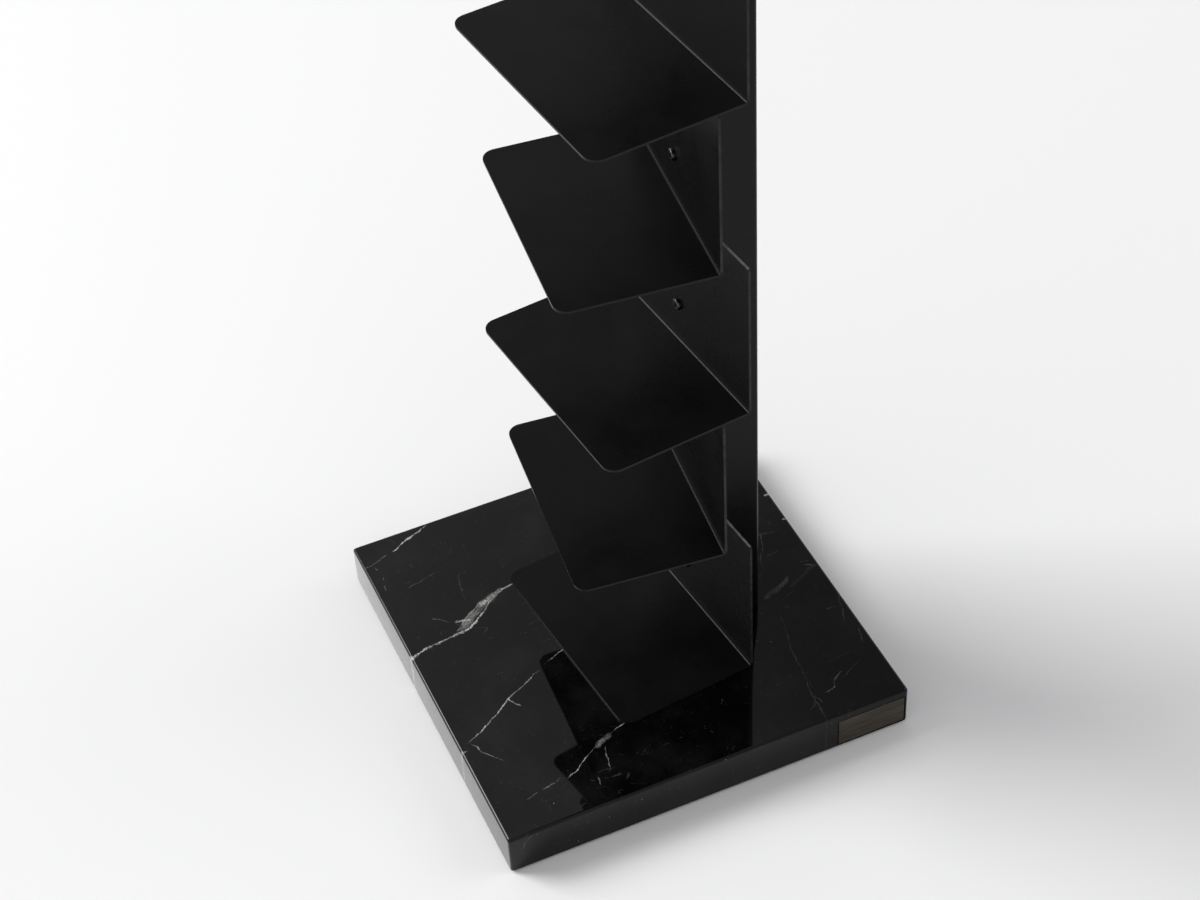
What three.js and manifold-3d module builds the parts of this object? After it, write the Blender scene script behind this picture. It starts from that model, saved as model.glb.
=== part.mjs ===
// A spine bookshelf: a marble slab carries an upright steel column, and eleven L-shaped
// sheet steel shelves stand close above one another on the column's front, turned to the
// right and to the left in turn. All lengths are in millimetres, +Z is up, the front of the
// shelves faces -Y, and the origin is on the floor under the middle of the slab.
import * as THREE from "three";
import { mergeVertices } from "three/addons/utils/BufferGeometryUtils.js";
import Module from "manifold-3d";

const wasm = await Module();
wasm.setup();

// The slab and the pads that it stands on.
const base_side = 350;
const base_thickness = 38;
const base_bevel = 1.5;
const pad_radius = 15;
const pad_thickness = 2;
const pad_inset = 45;

// The bare plate let into the slab's right side.
const nameplate_length = 60;
const nameplate_height = 28;
const nameplate_thickness = 1.5;
const nameplate_end_margin = 3;
const nameplate_lower_margin = 1.5;
const nameplate_corner = 1;
const nameplate_sunk = 0.2;

// The shelves. A shelf is one sheet, bent once: a plate that stands and a tongue that lies.
const shelf_count = 11;
const shelf_pitch = 141;
const shelf_turn = THREE.MathUtils.degToRad(6.3);
const shelf_width = 196;
const tongue_depth = 121;
const sheet = 2;
const bend_radius = 2;
const tongue_corner = 11;
const plate_corner = 3;
const shelf_air = 2;
const plate_line_share = 0.677;

// The column, a box section that stands behind the plates.
const column_width = 80;
const column_depth = 40;
const column_wall = 2;
const column_corner = 3;
const column_air = 1.1;
const cap_thickness = 2;
const cap_plug = 8;
const foot_plate_thickness = 6;

// The wedge behind each plate and the screws through plate, wedge and column wall.
const wedge_inset = 4;
const wedge_end_margin = 16;
const screw_spacing = 64;
const screw_radius = 2.5;
const screw_head_radius = 4.75;
const screw_head_height = 2.6;
const screw_crown = 0.9;
const screw_socket_radius = 1.7;
const screw_socket_depth = 1.5;
const screw_tail = 5;

// The bolts that hold the column down, and the plate under their heads.
const bolt_radius = 3;
const bolt_head_radius = 5;
const bolt_head_height = 3;
const bolt_socket_radius = 2.2;
const bolt_socket_depth = 1.6;
const bolt_tail = 2;
const bolt_across_share = 0.34;
const bolt_along_share = 0.25;
const anchor_thickness = 4;
const anchor_margin = 22;
const anchor_corner = 4;
const pocket_clearance = 0.5;
const pocket_spare = 1;

// Gap between pieces that meet at an angle or fit into one another, and the length that a
// cutting tool runs past what it cuts.
const seat_gap = 0.3;
const overrun = 5;

// Places that follow from the sizes.
const base_lower = pad_thickness;
const base_upper = base_lower + base_thickness;
const plate_line = base_side * (plate_line_share - 1 / 2);
const plate_height = shelf_pitch - shelf_air;
const slope = Math.tan(shelf_turn);
const plate_reach = sheet / 2 / Math.cos(shelf_turn);
const standoff = column_air + (column_width / 2) * slope;
const column_front = plate_line + plate_reach + standoff;
const column_middle = column_front + column_depth / 2;
const column_height = shelf_count * shelf_pitch - cap_thickness;
const inner_width = column_width - 2 * column_wall;
const inner_depth = column_depth - 2 * column_wall;
const inner_corner = Math.max(column_corner - column_wall, seat_gap);
const foot_width = inner_width - 2 * seat_gap;
const foot_depth = inner_depth - 2 * seat_gap;
const wedge_width = column_width - 2 * (column_corner + wedge_inset);
const wedge_height = screw_spacing + 2 * wedge_end_margin;
const screw_heights = [-1, 1].map((side) => plate_height / 2 + (side * screw_spacing) / 2);
const screw_length = sheet + standoff + column_wall + screw_tail;
const bolt_places = [-1, 1].flatMap((across) =>
  [-1, 1].map((along) => [
    across * foot_width * bolt_across_share,
    column_middle + along * foot_depth * bolt_along_share,
  ]),
);
const anchor_width = foot_width + 2 * anchor_margin;
const anchor_depth = foot_depth + 2 * anchor_margin;
const pocket_depth = anchor_thickness + bolt_head_height + pocket_spare;
const nameplate_along = base_side / 2 - nameplate_end_margin - nameplate_length / 2;
const nameplate_up = base_lower + nameplate_lower_margin + nameplate_height / 2;

// Colours and surfaces.
const marble_finish = new THREE.MeshStandardMaterial({ color: 0x0b0b0c, roughness: 0.12, metalness: 0 });
const lacquer_finish = new THREE.MeshStandardMaterial({ color: 0x17181a, roughness: 0.4, metalness: 0.1 });
const bronze_finish = new THREE.MeshStandardMaterial({ color: 0x3f352d, roughness: 0.4, metalness: 0.9 });
const steel_finish = new THREE.MeshStandardMaterial({ color: 0xa5a7aa, roughness: 0.4, metalness: 1 });
const rubber_finish = new THREE.MeshStandardMaterial({ color: 0x141414, roughness: 0.9, metalness: 0 });

// Turns a closed mesh into a solid that can be joined and cut.
function solid_of(geometry) {
  const plain = geometry.index ? geometry.toNonIndexed() : geometry.clone();
  for (const name of Object.keys(plain.attributes)) {
    if (name !== "position") plain.deleteAttribute(name);
  }
  const merged = mergeVertices(plain);
  const corners = Array.from(merged.index.array);
  const triangles = Array.from({ length: corners.length / 3 }, (_, i) => corners.slice(3 * i, 3 * i + 3));
  const whole = triangles.filter(([a, b, c]) => a !== b && b !== c && c !== a);
  return new wasm.Manifold(
    new wasm.Mesh({
      numProp: 3,
      vertProperties: merged.attributes.position.array,
      triVerts: Uint32Array.from(whole.flat()),
    }),
  );
}

// Turns a solid back into a mesh's geometry.
function geometry_of(solid) {
  const mesh = solid.getMesh();
  const geometry = new THREE.BufferGeometry();
  geometry.setAttribute("position", new THREE.BufferAttribute(mesh.vertProperties, 3));
  geometry.setIndex(new THREE.BufferAttribute(mesh.triVerts, 1));
  geometry.computeVertexNormals();
  return geometry;
}

// Cuts every tool out of a geometry.
function cut(geometry, tools) {
  return geometry_of(tools.reduce((left, tool) => left.subtract(solid_of(tool)), solid_of(geometry)));
}

// Keeps what all the geometries share.
function common(geometries) {
  return geometry_of(geometries.map(solid_of).reduce((left, right) => left.intersect(right)));
}

// Draws an outline through points, each with the radius of its own corner.
function outline(points, arc_steps = 5) {
  const shape = new THREE.Shape();
  points.forEach(([x, y, radius = 0], index) => {
    const here = new THREE.Vector2(x, y);
    const [before, after] = [-1, 1].map((step) => {
      const [nx, ny] = points[(index + step + points.length) % points.length];
      return new THREE.Vector2(nx, ny).sub(here).normalize();
    });
    const draw = index === 0 ? "moveTo" : "lineTo";
    if (radius === 0) {
      shape[draw](x, y);
      return;
    }
    const half_angle = Math.acos(THREE.MathUtils.clamp(before.dot(after), -1, 1)) / 2;
    const middle = before.clone().add(after).normalize().multiplyScalar(radius / Math.sin(half_angle)).add(here);
    const start = before.clone().multiplyScalar(radius / Math.tan(half_angle)).add(here).sub(middle);
    const end = after.clone().multiplyScalar(radius / Math.tan(half_angle)).add(here).sub(middle);
    const turn = Math.atan2(start.cross(end), start.dot(end));
    for (let step = 0; step <= arc_steps; step += 1) {
      const spot = start.clone().rotateAround(new THREE.Vector2(), (turn * step) / arc_steps).add(middle);
      shape[step === 0 ? draw : "lineTo"](spot.x, spot.y);
    }
  });
  return shape;
}

// An outline of a rectangle about the origin.
function rectangle(width, height, radius = 0) {
  const [x, y] = [width / 2, height / 2];
  return [[-x, -y, radius], [x, -y, radius], [x, y, radius], [-x, y, radius]];
}

// A prism that stands on the XY plane: its outline is in X and Y.
function upright_prism(shape, height, lower = 0) {
  const prism = new THREE.ExtrudeGeometry(shape, { depth: height, bevelEnabled: false });
  return prism.translate(0, 0, lower);
}

// A prism that lies along X, with an outline in Y and Z, from -length / 2 to length / 2.
function cross_prism(shape, length) {
  const prism = new THREE.ExtrudeGeometry(shape, { depth: length, bevelEnabled: false });
  return prism.translate(0, 0, -length / 2).rotateZ(Math.PI / 2).rotateY(Math.PI / 2);
}

// A prism that lies along Y, with an outline in X and Z, from -length / 2 to length / 2.
function deep_prism(shape, length) {
  const prism = new THREE.ExtrudeGeometry(shape, { depth: length, bevelEnabled: false });
  return prism.translate(0, 0, -length / 2).rotateX(Math.PI / 2);
}

// A rod along Z from lower to upper.
function rod(radius, lower, upper, sides = 16) {
  const height = upper - lower;
  const cylinder = new THREE.CylinderGeometry(radius, radius, height, sides);
  return cylinder.rotateX(Math.PI / 2).translate(0, 0, lower + height / 2);
}

const bookshelf = new THREE.Group();

function add(parent, name, geometry, finish) {
  const mesh = new THREE.Mesh(geometry, finish);
  mesh.name = name;
  parent.add(mesh);
  return mesh;
}

// The slab: square, with small bevels along its upper and upright edges. Below it has the
// pocket for the anchor plate and the bolts' holes, and at its right the plate's recess.
function slab() {
  const half = base_side / 2;
  const cut_corner = (x, y, sx, sy) => [
    [x, y - sy * base_bevel],
    [x - sx * base_bevel, y],
  ];
  const plan = [
    ...cut_corner(-half, -half, -1, -1),
    ...cut_corner(half, -half, 1, -1).reverse(),
    ...cut_corner(half, half, 1, 1),
    ...cut_corner(-half, half, -1, 1).reverse(),
  ];
  const side = [
    [-half, 0],
    [half, 0],
    [half, base_thickness - base_bevel],
    [half - base_bevel, base_thickness],
    [base_bevel - half, base_thickness],
    [-half, base_thickness - base_bevel],
  ];
  const block = common([
    upright_prism(outline(plan), base_thickness),
    cross_prism(outline(side), base_side),
    deep_prism(outline(side), base_side),
  ]);
  const pocket_margin = 2 * pocket_clearance;
  const pocket = upright_prism(
    outline(rectangle(anchor_width + pocket_margin, anchor_depth + pocket_margin, anchor_corner)),
    pocket_depth + overrun,
    -overrun,
  ).translate(0, column_middle, 0);
  const holes = bolt_places.map(([x, y]) =>
    rod(bolt_radius + seat_gap, 0, base_thickness + overrun).translate(x, y, 0),
  );
  const recess_margin = 2 * seat_gap;
  const recess_depth = nameplate_thickness + nameplate_sunk;
  const recess = cross_prism(
    outline(
      rectangle(nameplate_length + recess_margin, nameplate_height + recess_margin, nameplate_corner + seat_gap),
    ),
    recess_depth + overrun,
  ).translate(half - recess_depth + (recess_depth + overrun) / 2, nameplate_along, nameplate_up - base_lower);
  return cut(block, [pocket, ...holes, recess]).translate(0, 0, base_lower);
}

// The bare plate, with its outer face a little below the slab's side.
function nameplate() {
  const plate = cross_prism(
    outline(rectangle(nameplate_length, nameplate_height, nameplate_corner)),
    nameplate_thickness,
  );
  const across = base_side / 2 - nameplate_sunk - nameplate_thickness / 2;
  return plate.translate(across, nameplate_along, nameplate_up);
}

// The column: a box section whose front wall has a hole for every shelf screw.
function column() {
  const tube = outline(rectangle(column_width, column_depth, column_corner), 4);
  tube.holes.push(outline(rectangle(inner_width, inner_depth, inner_corner), 3));
  const section = upright_prism(tube, column_height, base_upper).translate(0, column_middle, 0);
  const tool_end = screw_length + overrun;
  const holes = shelves.flatMap(({ height, turn }) =>
    screw_heights.map((up) =>
      rod(screw_radius + seat_gap, 0, tool_end, 10)
        .rotateX(-Math.PI / 2)
        .rotateZ(turn)
        .translate(0, plate_line, height + up),
    ),
  );
  return cut(section, holes);
}

// The cap: a lid as wide as the column, with a plug that drops into it.
function column_cap() {
  const lid = upright_prism(outline(rectangle(column_width, column_depth, column_corner), 4), cap_thickness);
  const plug_outline = outline(rectangle(foot_width, foot_depth, inner_corner), 3);
  const plug = upright_prism(plug_outline, cap_plug + cap_thickness / 2, -cap_plug);
  const cap = geometry_of(solid_of(lid).add(solid_of(plug)));
  return cap.translate(0, column_middle, base_upper + column_height);
}

// The foot plate, inside the column's lower end, on the slab. The bolts screw into it.
function foot_plate() {
  const plate = upright_prism(outline(rectangle(foot_width, foot_depth, inner_corner), 3), foot_plate_thickness);
  const holes = bolt_places.map(([x, y]) =>
    rod(bolt_radius + seat_gap, -overrun, foot_plate_thickness + overrun).translate(x, y - column_middle, 0),
  );
  return cut(plate, holes).translate(0, column_middle, base_upper);
}

// The anchor plate, against the ceiling of the slab's pocket.
function anchor_plate() {
  const plate = upright_prism(outline(rectangle(anchor_width, anchor_depth, anchor_corner)), anchor_thickness);
  const holes = bolt_places.map(([x, y]) =>
    rod(bolt_radius + seat_gap, -overrun, anchor_thickness + overrun).translate(x, y - column_middle, 0),
  );
  return cut(plate, holes).translate(0, column_middle, base_lower + pocket_depth - anchor_thickness);
}

// A screw or bolt along Z with its head below the origin: a crowned head, a plain shank
// and a six-sided socket in the head.
function fastener(radius, length, head_radius, head_height, crown, socket_radius, socket_depth) {
  const profile = [
    [0, -head_height],
    [head_radius - crown, -head_height],
    [head_radius, crown - head_height],
    [head_radius, 0],
    [radius, 0],
    [radius, length],
    [0, length],
  ].map(([x, y]) => new THREE.Vector2(x, y));
  const body = new THREE.LatheGeometry(profile, 12).rotateX(Math.PI / 2);
  const socket = rod(socket_radius, -head_height - overrun, socket_depth - head_height, 6);
  return cut(body, [socket]);
}

// A shelf: the bent sheet, with round corners at the tongue's front and small ones at the
// plate's top, and two screw holes. Its own origin is on the tongue's underside, in the
// middle of the plate's thickness, and the tongue reaches to -Y.
function shelf() {
  const [front, back] = [-sheet / 2, sheet / 2];
  const outer_radius = bend_radius + sheet;
  const profile = outline([
    [-tongue_depth, 0],
    [back, 0, outer_radius],
    [back, plate_height],
    [front, plate_height],
    [front, sheet, bend_radius],
    [-tongue_depth, sheet],
  ]);
  const half = shelf_width / 2;
  const plan = outline([
    [-half, -tongue_depth, tongue_corner],
    [half, -tongue_depth, tongue_corner],
    [half, back + overrun],
    [-half, back + overrun],
  ]);
  const elevation = outline([
    [-half, -overrun],
    [half, -overrun],
    [half, plate_height, plate_corner],
    [-half, plate_height, plate_corner],
  ]);
  const sheet_metal = common([
    cross_prism(profile, shelf_width),
    upright_prism(plan, plate_height + 2 * overrun, -overrun),
    deep_prism(elevation, 2 * (tongue_depth + overrun)),
  ]);
  const holes = screw_heights.map((up) =>
    rod(screw_radius + seat_gap, -overrun, overrun, 10).rotateX(-Math.PI / 2).translate(0, 0, up),
  );
  return cut(sheet_metal, holes);
}

// A wedge: flat on the column's front, and turned with the plate at its own front. It is
// made in the column's frame, with the plate's line at Y = 0.
function wedge(turn) {
  const half = wedge_width / 2;
  const back = column_front - plate_line;
  const front = plate_reach + seat_gap;
  const lean = half * Math.tan(turn);
  const block = upright_prism(
    outline([[-half, front - lean], [half, front + lean], [half, back], [-half, back]]),
    wedge_height,
    (plate_height - wedge_height) / 2,
  );
  const holes = screw_heights.map((up) =>
    rod(screw_radius + seat_gap, -overrun, standoff + 2 * overrun, 10)
      .rotateX(-Math.PI / 2)
      .rotateZ(turn)
      .translate(0, 0, up),
  );
  return cut(block, holes);
}

// Where each shelf stands and which way it is turned: the lowest to the right.
const shelves = Array.from({ length: shelf_count }, (_, index) => ({
  label: String(index + 1).padStart(2, "0"),
  height: base_upper + seat_gap + index * shelf_pitch,
  turn: index % 2 === 0 ? shelf_turn : -shelf_turn,
}));

add(bookshelf, "marble_base", slab(), marble_finish);
add(bookshelf, "nameplate", nameplate(), bronze_finish);

const pad_shape = rod(pad_radius, 0, pad_thickness, 24);
for (const [side, x] of [["left", -1], ["right", 1]]) {
  for (const [end, y] of [["front", -1], ["back", 1]]) {
    const reach = base_side / 2 - pad_inset;
    add(bookshelf, `pad_${end}_${side}`, pad_shape.clone(), rubber_finish).position.set(x * reach, y * reach, 0);
  }
}

add(bookshelf, "column", column(), lacquer_finish);
add(bookshelf, "column_cap", column_cap(), lacquer_finish);
add(bookshelf, "foot_plate", foot_plate(), steel_finish);
add(bookshelf, "anchor_plate", anchor_plate(), steel_finish);

const bolt_seat = base_lower + pocket_depth - anchor_thickness;
const bolt_length = base_upper + foot_plate_thickness + bolt_tail - bolt_seat;
const bolt_shape = fastener(
  bolt_radius,
  bolt_length,
  bolt_head_radius,
  bolt_head_height,
  screw_crown,
  bolt_socket_radius,
  bolt_socket_depth,
);
bolt_places.forEach(([x, y], index) => {
  add(bookshelf, `base_bolt_${index + 1}`, bolt_shape.clone(), steel_finish).position.set(x, y, bolt_seat);
});

const shelf_shape = shelf();
const screw_shape = fastener(
  screw_radius,
  screw_length,
  screw_head_radius,
  screw_head_height,
  screw_crown,
  screw_socket_radius,
  screw_socket_depth,
).rotateX(-Math.PI / 2);
for (const { label, height, turn } of shelves) {
  const turned = new THREE.Group();
  turned.position.set(0, plate_line, height);
  turned.rotation.z = turn;
  bookshelf.add(turned);
  add(turned, `shelf_${label}`, shelf_shape.clone(), lacquer_finish);
  ["lower", "upper"].forEach((place, index) => {
    const screw = add(turned, `shelf_screw_${label}_${place}`, screw_shape.clone(), lacquer_finish);
    screw.position.set(0, -sheet / 2 - seat_gap, screw_heights[index]);
  });
  add(bookshelf, `wedge_${label}`, wedge(turn), lacquer_finish).position.set(0, plate_line, height);
}

export default bookshelf;
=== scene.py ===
"""Looks of the spine bookshelf: a black steel column on a square slab of polished black
marble, with eleven bent sheet shelves turned to the right and to the left in turn.

Lengths are in metres, in the frame of the construction model: +Z up, -Y the front.
"""

import logging
import math
from dataclasses import dataclass, field
from enum import Enum
from functools import cache
from typing import Callable, Iterable, Sequence

import bmesh
import bpy
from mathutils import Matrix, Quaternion, Vector


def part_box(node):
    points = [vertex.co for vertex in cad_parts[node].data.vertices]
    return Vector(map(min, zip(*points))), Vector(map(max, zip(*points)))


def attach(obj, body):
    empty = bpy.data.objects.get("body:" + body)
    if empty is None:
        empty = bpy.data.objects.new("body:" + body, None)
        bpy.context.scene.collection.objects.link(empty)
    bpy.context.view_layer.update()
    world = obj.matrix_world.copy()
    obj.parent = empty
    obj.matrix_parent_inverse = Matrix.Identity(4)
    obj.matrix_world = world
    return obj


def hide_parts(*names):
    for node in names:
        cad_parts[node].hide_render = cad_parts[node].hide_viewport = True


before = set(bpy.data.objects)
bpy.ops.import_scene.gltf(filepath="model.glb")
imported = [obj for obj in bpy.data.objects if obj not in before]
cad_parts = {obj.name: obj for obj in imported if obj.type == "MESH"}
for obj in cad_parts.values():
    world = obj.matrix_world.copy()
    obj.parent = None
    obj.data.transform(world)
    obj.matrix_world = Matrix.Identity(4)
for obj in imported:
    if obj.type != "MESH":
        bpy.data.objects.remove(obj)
BODY = "root"
MM = 0.001
EDGE_MASK = "edge"
LOG = logging.getLogger("bookshelf")

# Angles in degrees from which an edge is shaded sharp.
SHARP = 10.0
LID_SHARP = 20.0
FASTENER_SHARP = 25.0

# The bolts that hold the column down, and the holes that they go through.
BOLTS = tuple(f"base_bolt_{number}" for number in range(1, 5))
BORE_RADIUS = 3.3 * MM
BORE_SIDES = 24
BORE_OVERRUN = 1 * MM

Point = tuple[float, float]
Colour = tuple[float, float, float]
Link = bpy.types.NodeSocket
# Gives each edge face its level of rubbed wear and painted light.
WearAndLight = Callable[[bpy.types.MeshPolygon], float]


class Slot(Enum):
    """The record's material slots."""

    MARBLE = "marble"
    LACQUER = "black_lacquer"
    BRONZE = "bronze"
    RUBBER = "rubber"
    SCREW = "black_screw"
    ZINC = "zinc_steel"


class Turn(Enum):
    """The two ways that a shelf is turned, as a factor of the stack's angle."""

    RIGHT = 1
    LEFT = -1


# Node trees


@dataclass
class Tree:
    """A node tree under construction, for a material, a group or a modifier.

    Args:
        nodes: The tree that the nodes go into.
    """

    nodes: bpy.types.NodeTree

    def add(self, kind: str, settings: dict | None = None, **inputs: object) -> bpy.types.Node:
        """Adds a node and gives its inputs a value or a link.

        Args:
            kind: The node's type name.
            settings: Properties of the node itself.
            **inputs: Values or sockets, by input name with spaces as underscores, or by
                number as in _0.

        Returns:
            The new node.
        """
        node = self.nodes.nodes.new(kind)
        for name, value in (settings or {}).items():
            setattr(node, name, value)
        for name, value in inputs.items():
            socket = self._input(node, name)
            if isinstance(value, bpy.types.NodeSocket):
                self.link(value, socket)
            else:
                socket.default_value = value
        return node

    def link(self, value: Link, socket: Link) -> None:
        """Leads an output to an input."""
        self.nodes.links.new(value, socket)

    @staticmethod
    def _input(node: bpy.types.Node, name: str) -> Link:
        """Finds a node's input by its number or its name."""
        if name[1:].isdigit():
            return node.inputs[int(name[1:])]
        wanted = name.replace("_", " ")
        return next(s for s in node.inputs if s.name == wanted and s.enabled)

    def math(self, operation: str, *values: object, clamp: bool = False) -> Link:
        """A Math node of up to three values.

        Args:
            operation: The operation's name.
            *values: Numbers or sockets.
            clamp: Keep the result between 0 and 1.

        Returns:
            The result.
        """
        inputs = {f"_{i}": value for i, value in enumerate(values)}
        node = self.add("ShaderNodeMath", {"operation": operation, "use_clamp": clamp}, **inputs)
        return node.outputs[0]

    def vector(self, operation: str, *values: object) -> Link:
        """A Vector Math node.

        Args:
            operation: The operation's name.
            *values: Vectors or sockets.

        Returns:
            The result.
        """
        inputs = {f"_{i}": value for i, value in enumerate(values)}
        return self.add("ShaderNodeVectorMath", {"operation": operation}, **inputs).outputs[0]

    def scaled(self, place: Link, scale: object) -> Link:
        """Coordinates times one number.

        Args:
            place: The coordinates.
            scale: The number, or a socket that gives it.

        Returns:
            The scaled coordinates.
        """
        return self.add("ShaderNodeVectorMath", {"operation": "SCALE"}, _0=place, _3=scale).outputs[0]

    def ramp(
        self, value: Link, low: float, high: float, to_low: float = 0.0, to_high: float = 1.0
    ) -> Link:
        """A smooth step of a value from one range to another.

        Args:
            value: What is mapped.
            low: The value that gives to_low.
            high: The value that gives to_high.
            to_low: Result at low.
            to_high: Result at high.

        Returns:
            The mapped value.
        """
        node = self.add(
            "ShaderNodeMapRange",
            {"interpolation_type": "SMOOTHSTEP"},
            Value=value,
            From_Min=low,
            From_Max=high,
            To_Min=to_low,
            To_Max=to_high,
        )
        return node.outputs["Result"]

    def blend(self, share: object, under: object, over: object) -> Link:
        """Mixes two colours.

        Args:
            share: How much of the second shows, 0 to 1.
            under: The first colour.
            over: The second colour.

        Returns:
            The mixed colour.
        """
        node = self.add("ShaderNodeMix", {"data_type": "RGBA"}, _0=share, _6=under, _7=over)
        return node.outputs[2]

    def noise(
        self, place: Link, scale: float, detail: float = 3.0, rough: float = 0.5, output: str = "Fac"
    ) -> Link:
        """A noise texture on given coordinates.

        Args:
            place: The coordinates.
            scale: How many features there are to a unit.
            detail: How many finer layers are added.
            rough: How strong the finer layers are.
            output: Fac for one value, Color for three.

        Returns:
            The noise.
        """
        node = self.add("ShaderNodeTexNoise", Vector=place, Scale=scale, Detail=detail, Roughness=rough)
        return node.outputs[output]


def new_group(name: str, kind: str, sockets: Sequence[tuple[str, str, str, object]]) -> Tree:
    """Makes a node group with named inputs and outputs.

    Args:
        name: The group's name.
        kind: ShaderNodeTree or GeometryNodeTree.
        sockets: For each socket its name, INPUT or OUTPUT, its type and its default.

    Returns:
        The group's tree, still without nodes.
    """
    tree = bpy.data.node_groups.new(name, kind)
    for label, way, socket_type, default in sockets:
        socket = tree.interface.new_socket(name=label, in_out=way, socket_type=socket_type)
        if default is not None:
            socket.default_value = default
    return Tree(tree)


def opaque(colour: Colour) -> tuple[float, float, float, float]:
    """Gives a colour its fourth value."""
    return (*colour, 1.0)


# Shader groups


@cache
def surface_grain_group() -> bpy.types.NodeTree:
    """Fine unevenness of a surface, for lacquer, metal and rubber alike.

    Returns:
        A group that turns coordinates in millimetres into a roughness and a bump height.
    """
    group = new_group(
        "surface grain",
        "ShaderNodeTree",
        [
            ("Place", "INPUT", "NodeSocketVector", None),
            ("Grain Size", "INPUT", "NodeSocketFloat", 1.0),
            ("Cloud Size", "INPUT", "NodeSocketFloat", 40.0),
            ("Smooth", "INPUT", "NodeSocketFloat", 0.3),
            ("Rough", "INPUT", "NodeSocketFloat", 0.4),
            ("Roughness", "OUTPUT", "NodeSocketFloat", None),
            ("Height", "OUTPUT", "NodeSocketFloat", None),
            ("Cloud", "OUTPUT", "NodeSocketFloat", None),
        ],
    )
    cloud_share = 0.75
    given = group.add("NodeGroupInput").outputs
    result = group.add("NodeGroupOutput")
    fine_place = group.scaled(given["Place"], group.math("DIVIDE", 1.0, given["Grain Size"]))
    wide_place = group.scaled(given["Place"], group.math("DIVIDE", 1.0, given["Cloud Size"]))
    fine = group.noise(fine_place, scale=1.0, detail=2.0, rough=0.55)
    wide = group.noise(wide_place, scale=1.0, detail=4.0, rough=0.6)
    cloud = group.ramp(wide, low=0.3, high=0.7)
    fine_part = group.math("MULTIPLY", fine, 1 - cloud_share)
    both = group.math("MULTIPLY_ADD", cloud, cloud_share, fine_part)
    spread = group.math("SUBTRACT", given["Rough"], given["Smooth"])
    rough = group.math("MULTIPLY_ADD", both, spread, given["Smooth"])
    for name, value in (("Roughness", rough), ("Height", fine), ("Cloud", cloud)):
        group.link(value, result.inputs[name])
    return group.nodes


@cache
def edge_wear_and_light_group() -> bpy.types.NodeTree:
    """Rubbed edges, with painted highlight and painted shade on some finishes: the rounding's mask,
    broken up by a patchy noise.

    Returns:
        A group that turns coordinates in millimetres into a mask of the rubbed places, which also
        places painted highlight and shade.
    """
    group = new_group(
        "edge wear",
        "ShaderNodeTree",
        [
            ("Place", "INPUT", "NodeSocketVector", None),
            ("Patch Size", "INPUT", "NodeSocketFloat", 12.0),
            ("Least", "INPUT", "NodeSocketFloat", 0.5),
            ("Mask", "OUTPUT", "NodeSocketFloat", None),
        ],
    )
    given = group.add("NodeGroupInput").outputs
    result = group.add("NodeGroupOutput")
    place = group.scaled(given["Place"], group.math("DIVIDE", 1.0, given["Patch Size"]))
    patches = group.ramp(group.noise(place, scale=1.0, detail=4.0, rough=0.65), low=0.4, high=0.6)
    rest = group.math("SUBTRACT", 1.0, given["Least"])
    kept = group.math("MULTIPLY_ADD", patches, rest, given["Least"])
    edge = group.add("ShaderNodeAttribute", {"attribute_name": EDGE_MASK}).outputs["Fac"]
    group.link(group.math("MULTIPLY", edge, kept), result.inputs["Mask"])
    return group.nodes


@cache
def vein_line_group() -> bpy.types.NodeTree:
    """A band round a course, thinner and fainter towards the two ends of a stretch.

    Returns:
        A group that gives a mask from two coordinates of a place and the course there.
    """
    group = new_group(
        "vein line",
        "ShaderNodeTree",
        [
            ("Across", "INPUT", "NodeSocketFloat", 0.0),
            ("Course", "INPUT", "NodeSocketFloat", 0.0),
            ("Share", "INPUT", "NodeSocketFloat", 0.0),
            ("Swell", "INPUT", "NodeSocketFloat", 1.0),
            ("Width", "INPUT", "NodeSocketFloat", 1.0),
            ("Strength", "INPUT", "NodeSocketFloat", 1.0),
            ("Mask", "OUTPUT", "NodeSocketFloat", None),
        ],
    )
    least_width = 0.05
    given = group.add("NodeGroupInput").outputs
    result = group.add("NodeGroupOutput")
    middle = group.math("ABSOLUTE", group.math("SUBTRACT", given["Share"], 0.5))
    ends = group.ramp(middle, low=0.3, high=0.5, to_low=1.0, to_high=0.0)
    width = group.math("MULTIPLY", given["Width"], group.math("MULTIPLY", given["Swell"], ends))
    distance = group.math("ABSOLUTE", group.math("SUBTRACT", given["Across"], given["Course"]))
    share = group.math("DIVIDE", distance, group.math("MAXIMUM", width, least_width))
    band = group.ramp(share, low=0.15, high=0.7, to_low=1.0, to_high=0.0)
    shown = group.math("MULTIPLY", group.math("MULTIPLY", band, ends), given["Strength"])
    group.link(shown, result.inputs["Mask"])
    return group.nodes


# Finishes


class Finish:
    """What every finish shares: a new material with its Principled shader at hand.

    Attributes:
        name: The material's name.
        slot: The record's slot; not used.
    """

    name: str
    slot: Slot

    def start(self) -> tuple[bpy.types.Material, Tree, bpy.types.Node, Link]:
        """Makes the material and the coordinates that its pattern lies in.

        Returns:
            The material, its tree, its shader, and the place on the piece in millimetres.
        """
        material = bpy.data.materials.new(self.name)
        material.use_nodes = True
        tree = Tree(material.node_tree)
        shader = next(n for n in tree.nodes.nodes if n.type == "BSDF_PRINCIPLED")
        place = tree.scaled(tree.add("ShaderNodeTexCoord").outputs["Object"], 1 / MM)
        return material, tree, shader, place


class Along(Enum):
    """The axis that a vein mostly follows."""

    X = 0
    Y = 1


@dataclass(frozen=True)
class Vein:
    """A vein seen on the slab's top.

    Args:
        along: The axis that it follows, which its points climb.
        points: Its course in millimetres, from the slab's middle.
        width: How wide it is, in millimetres.
        strength: How white it is, 0 to 1.
    """

    along: Along
    points: tuple[Point, ...]
    width: float
    strength: float = 1.0


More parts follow.
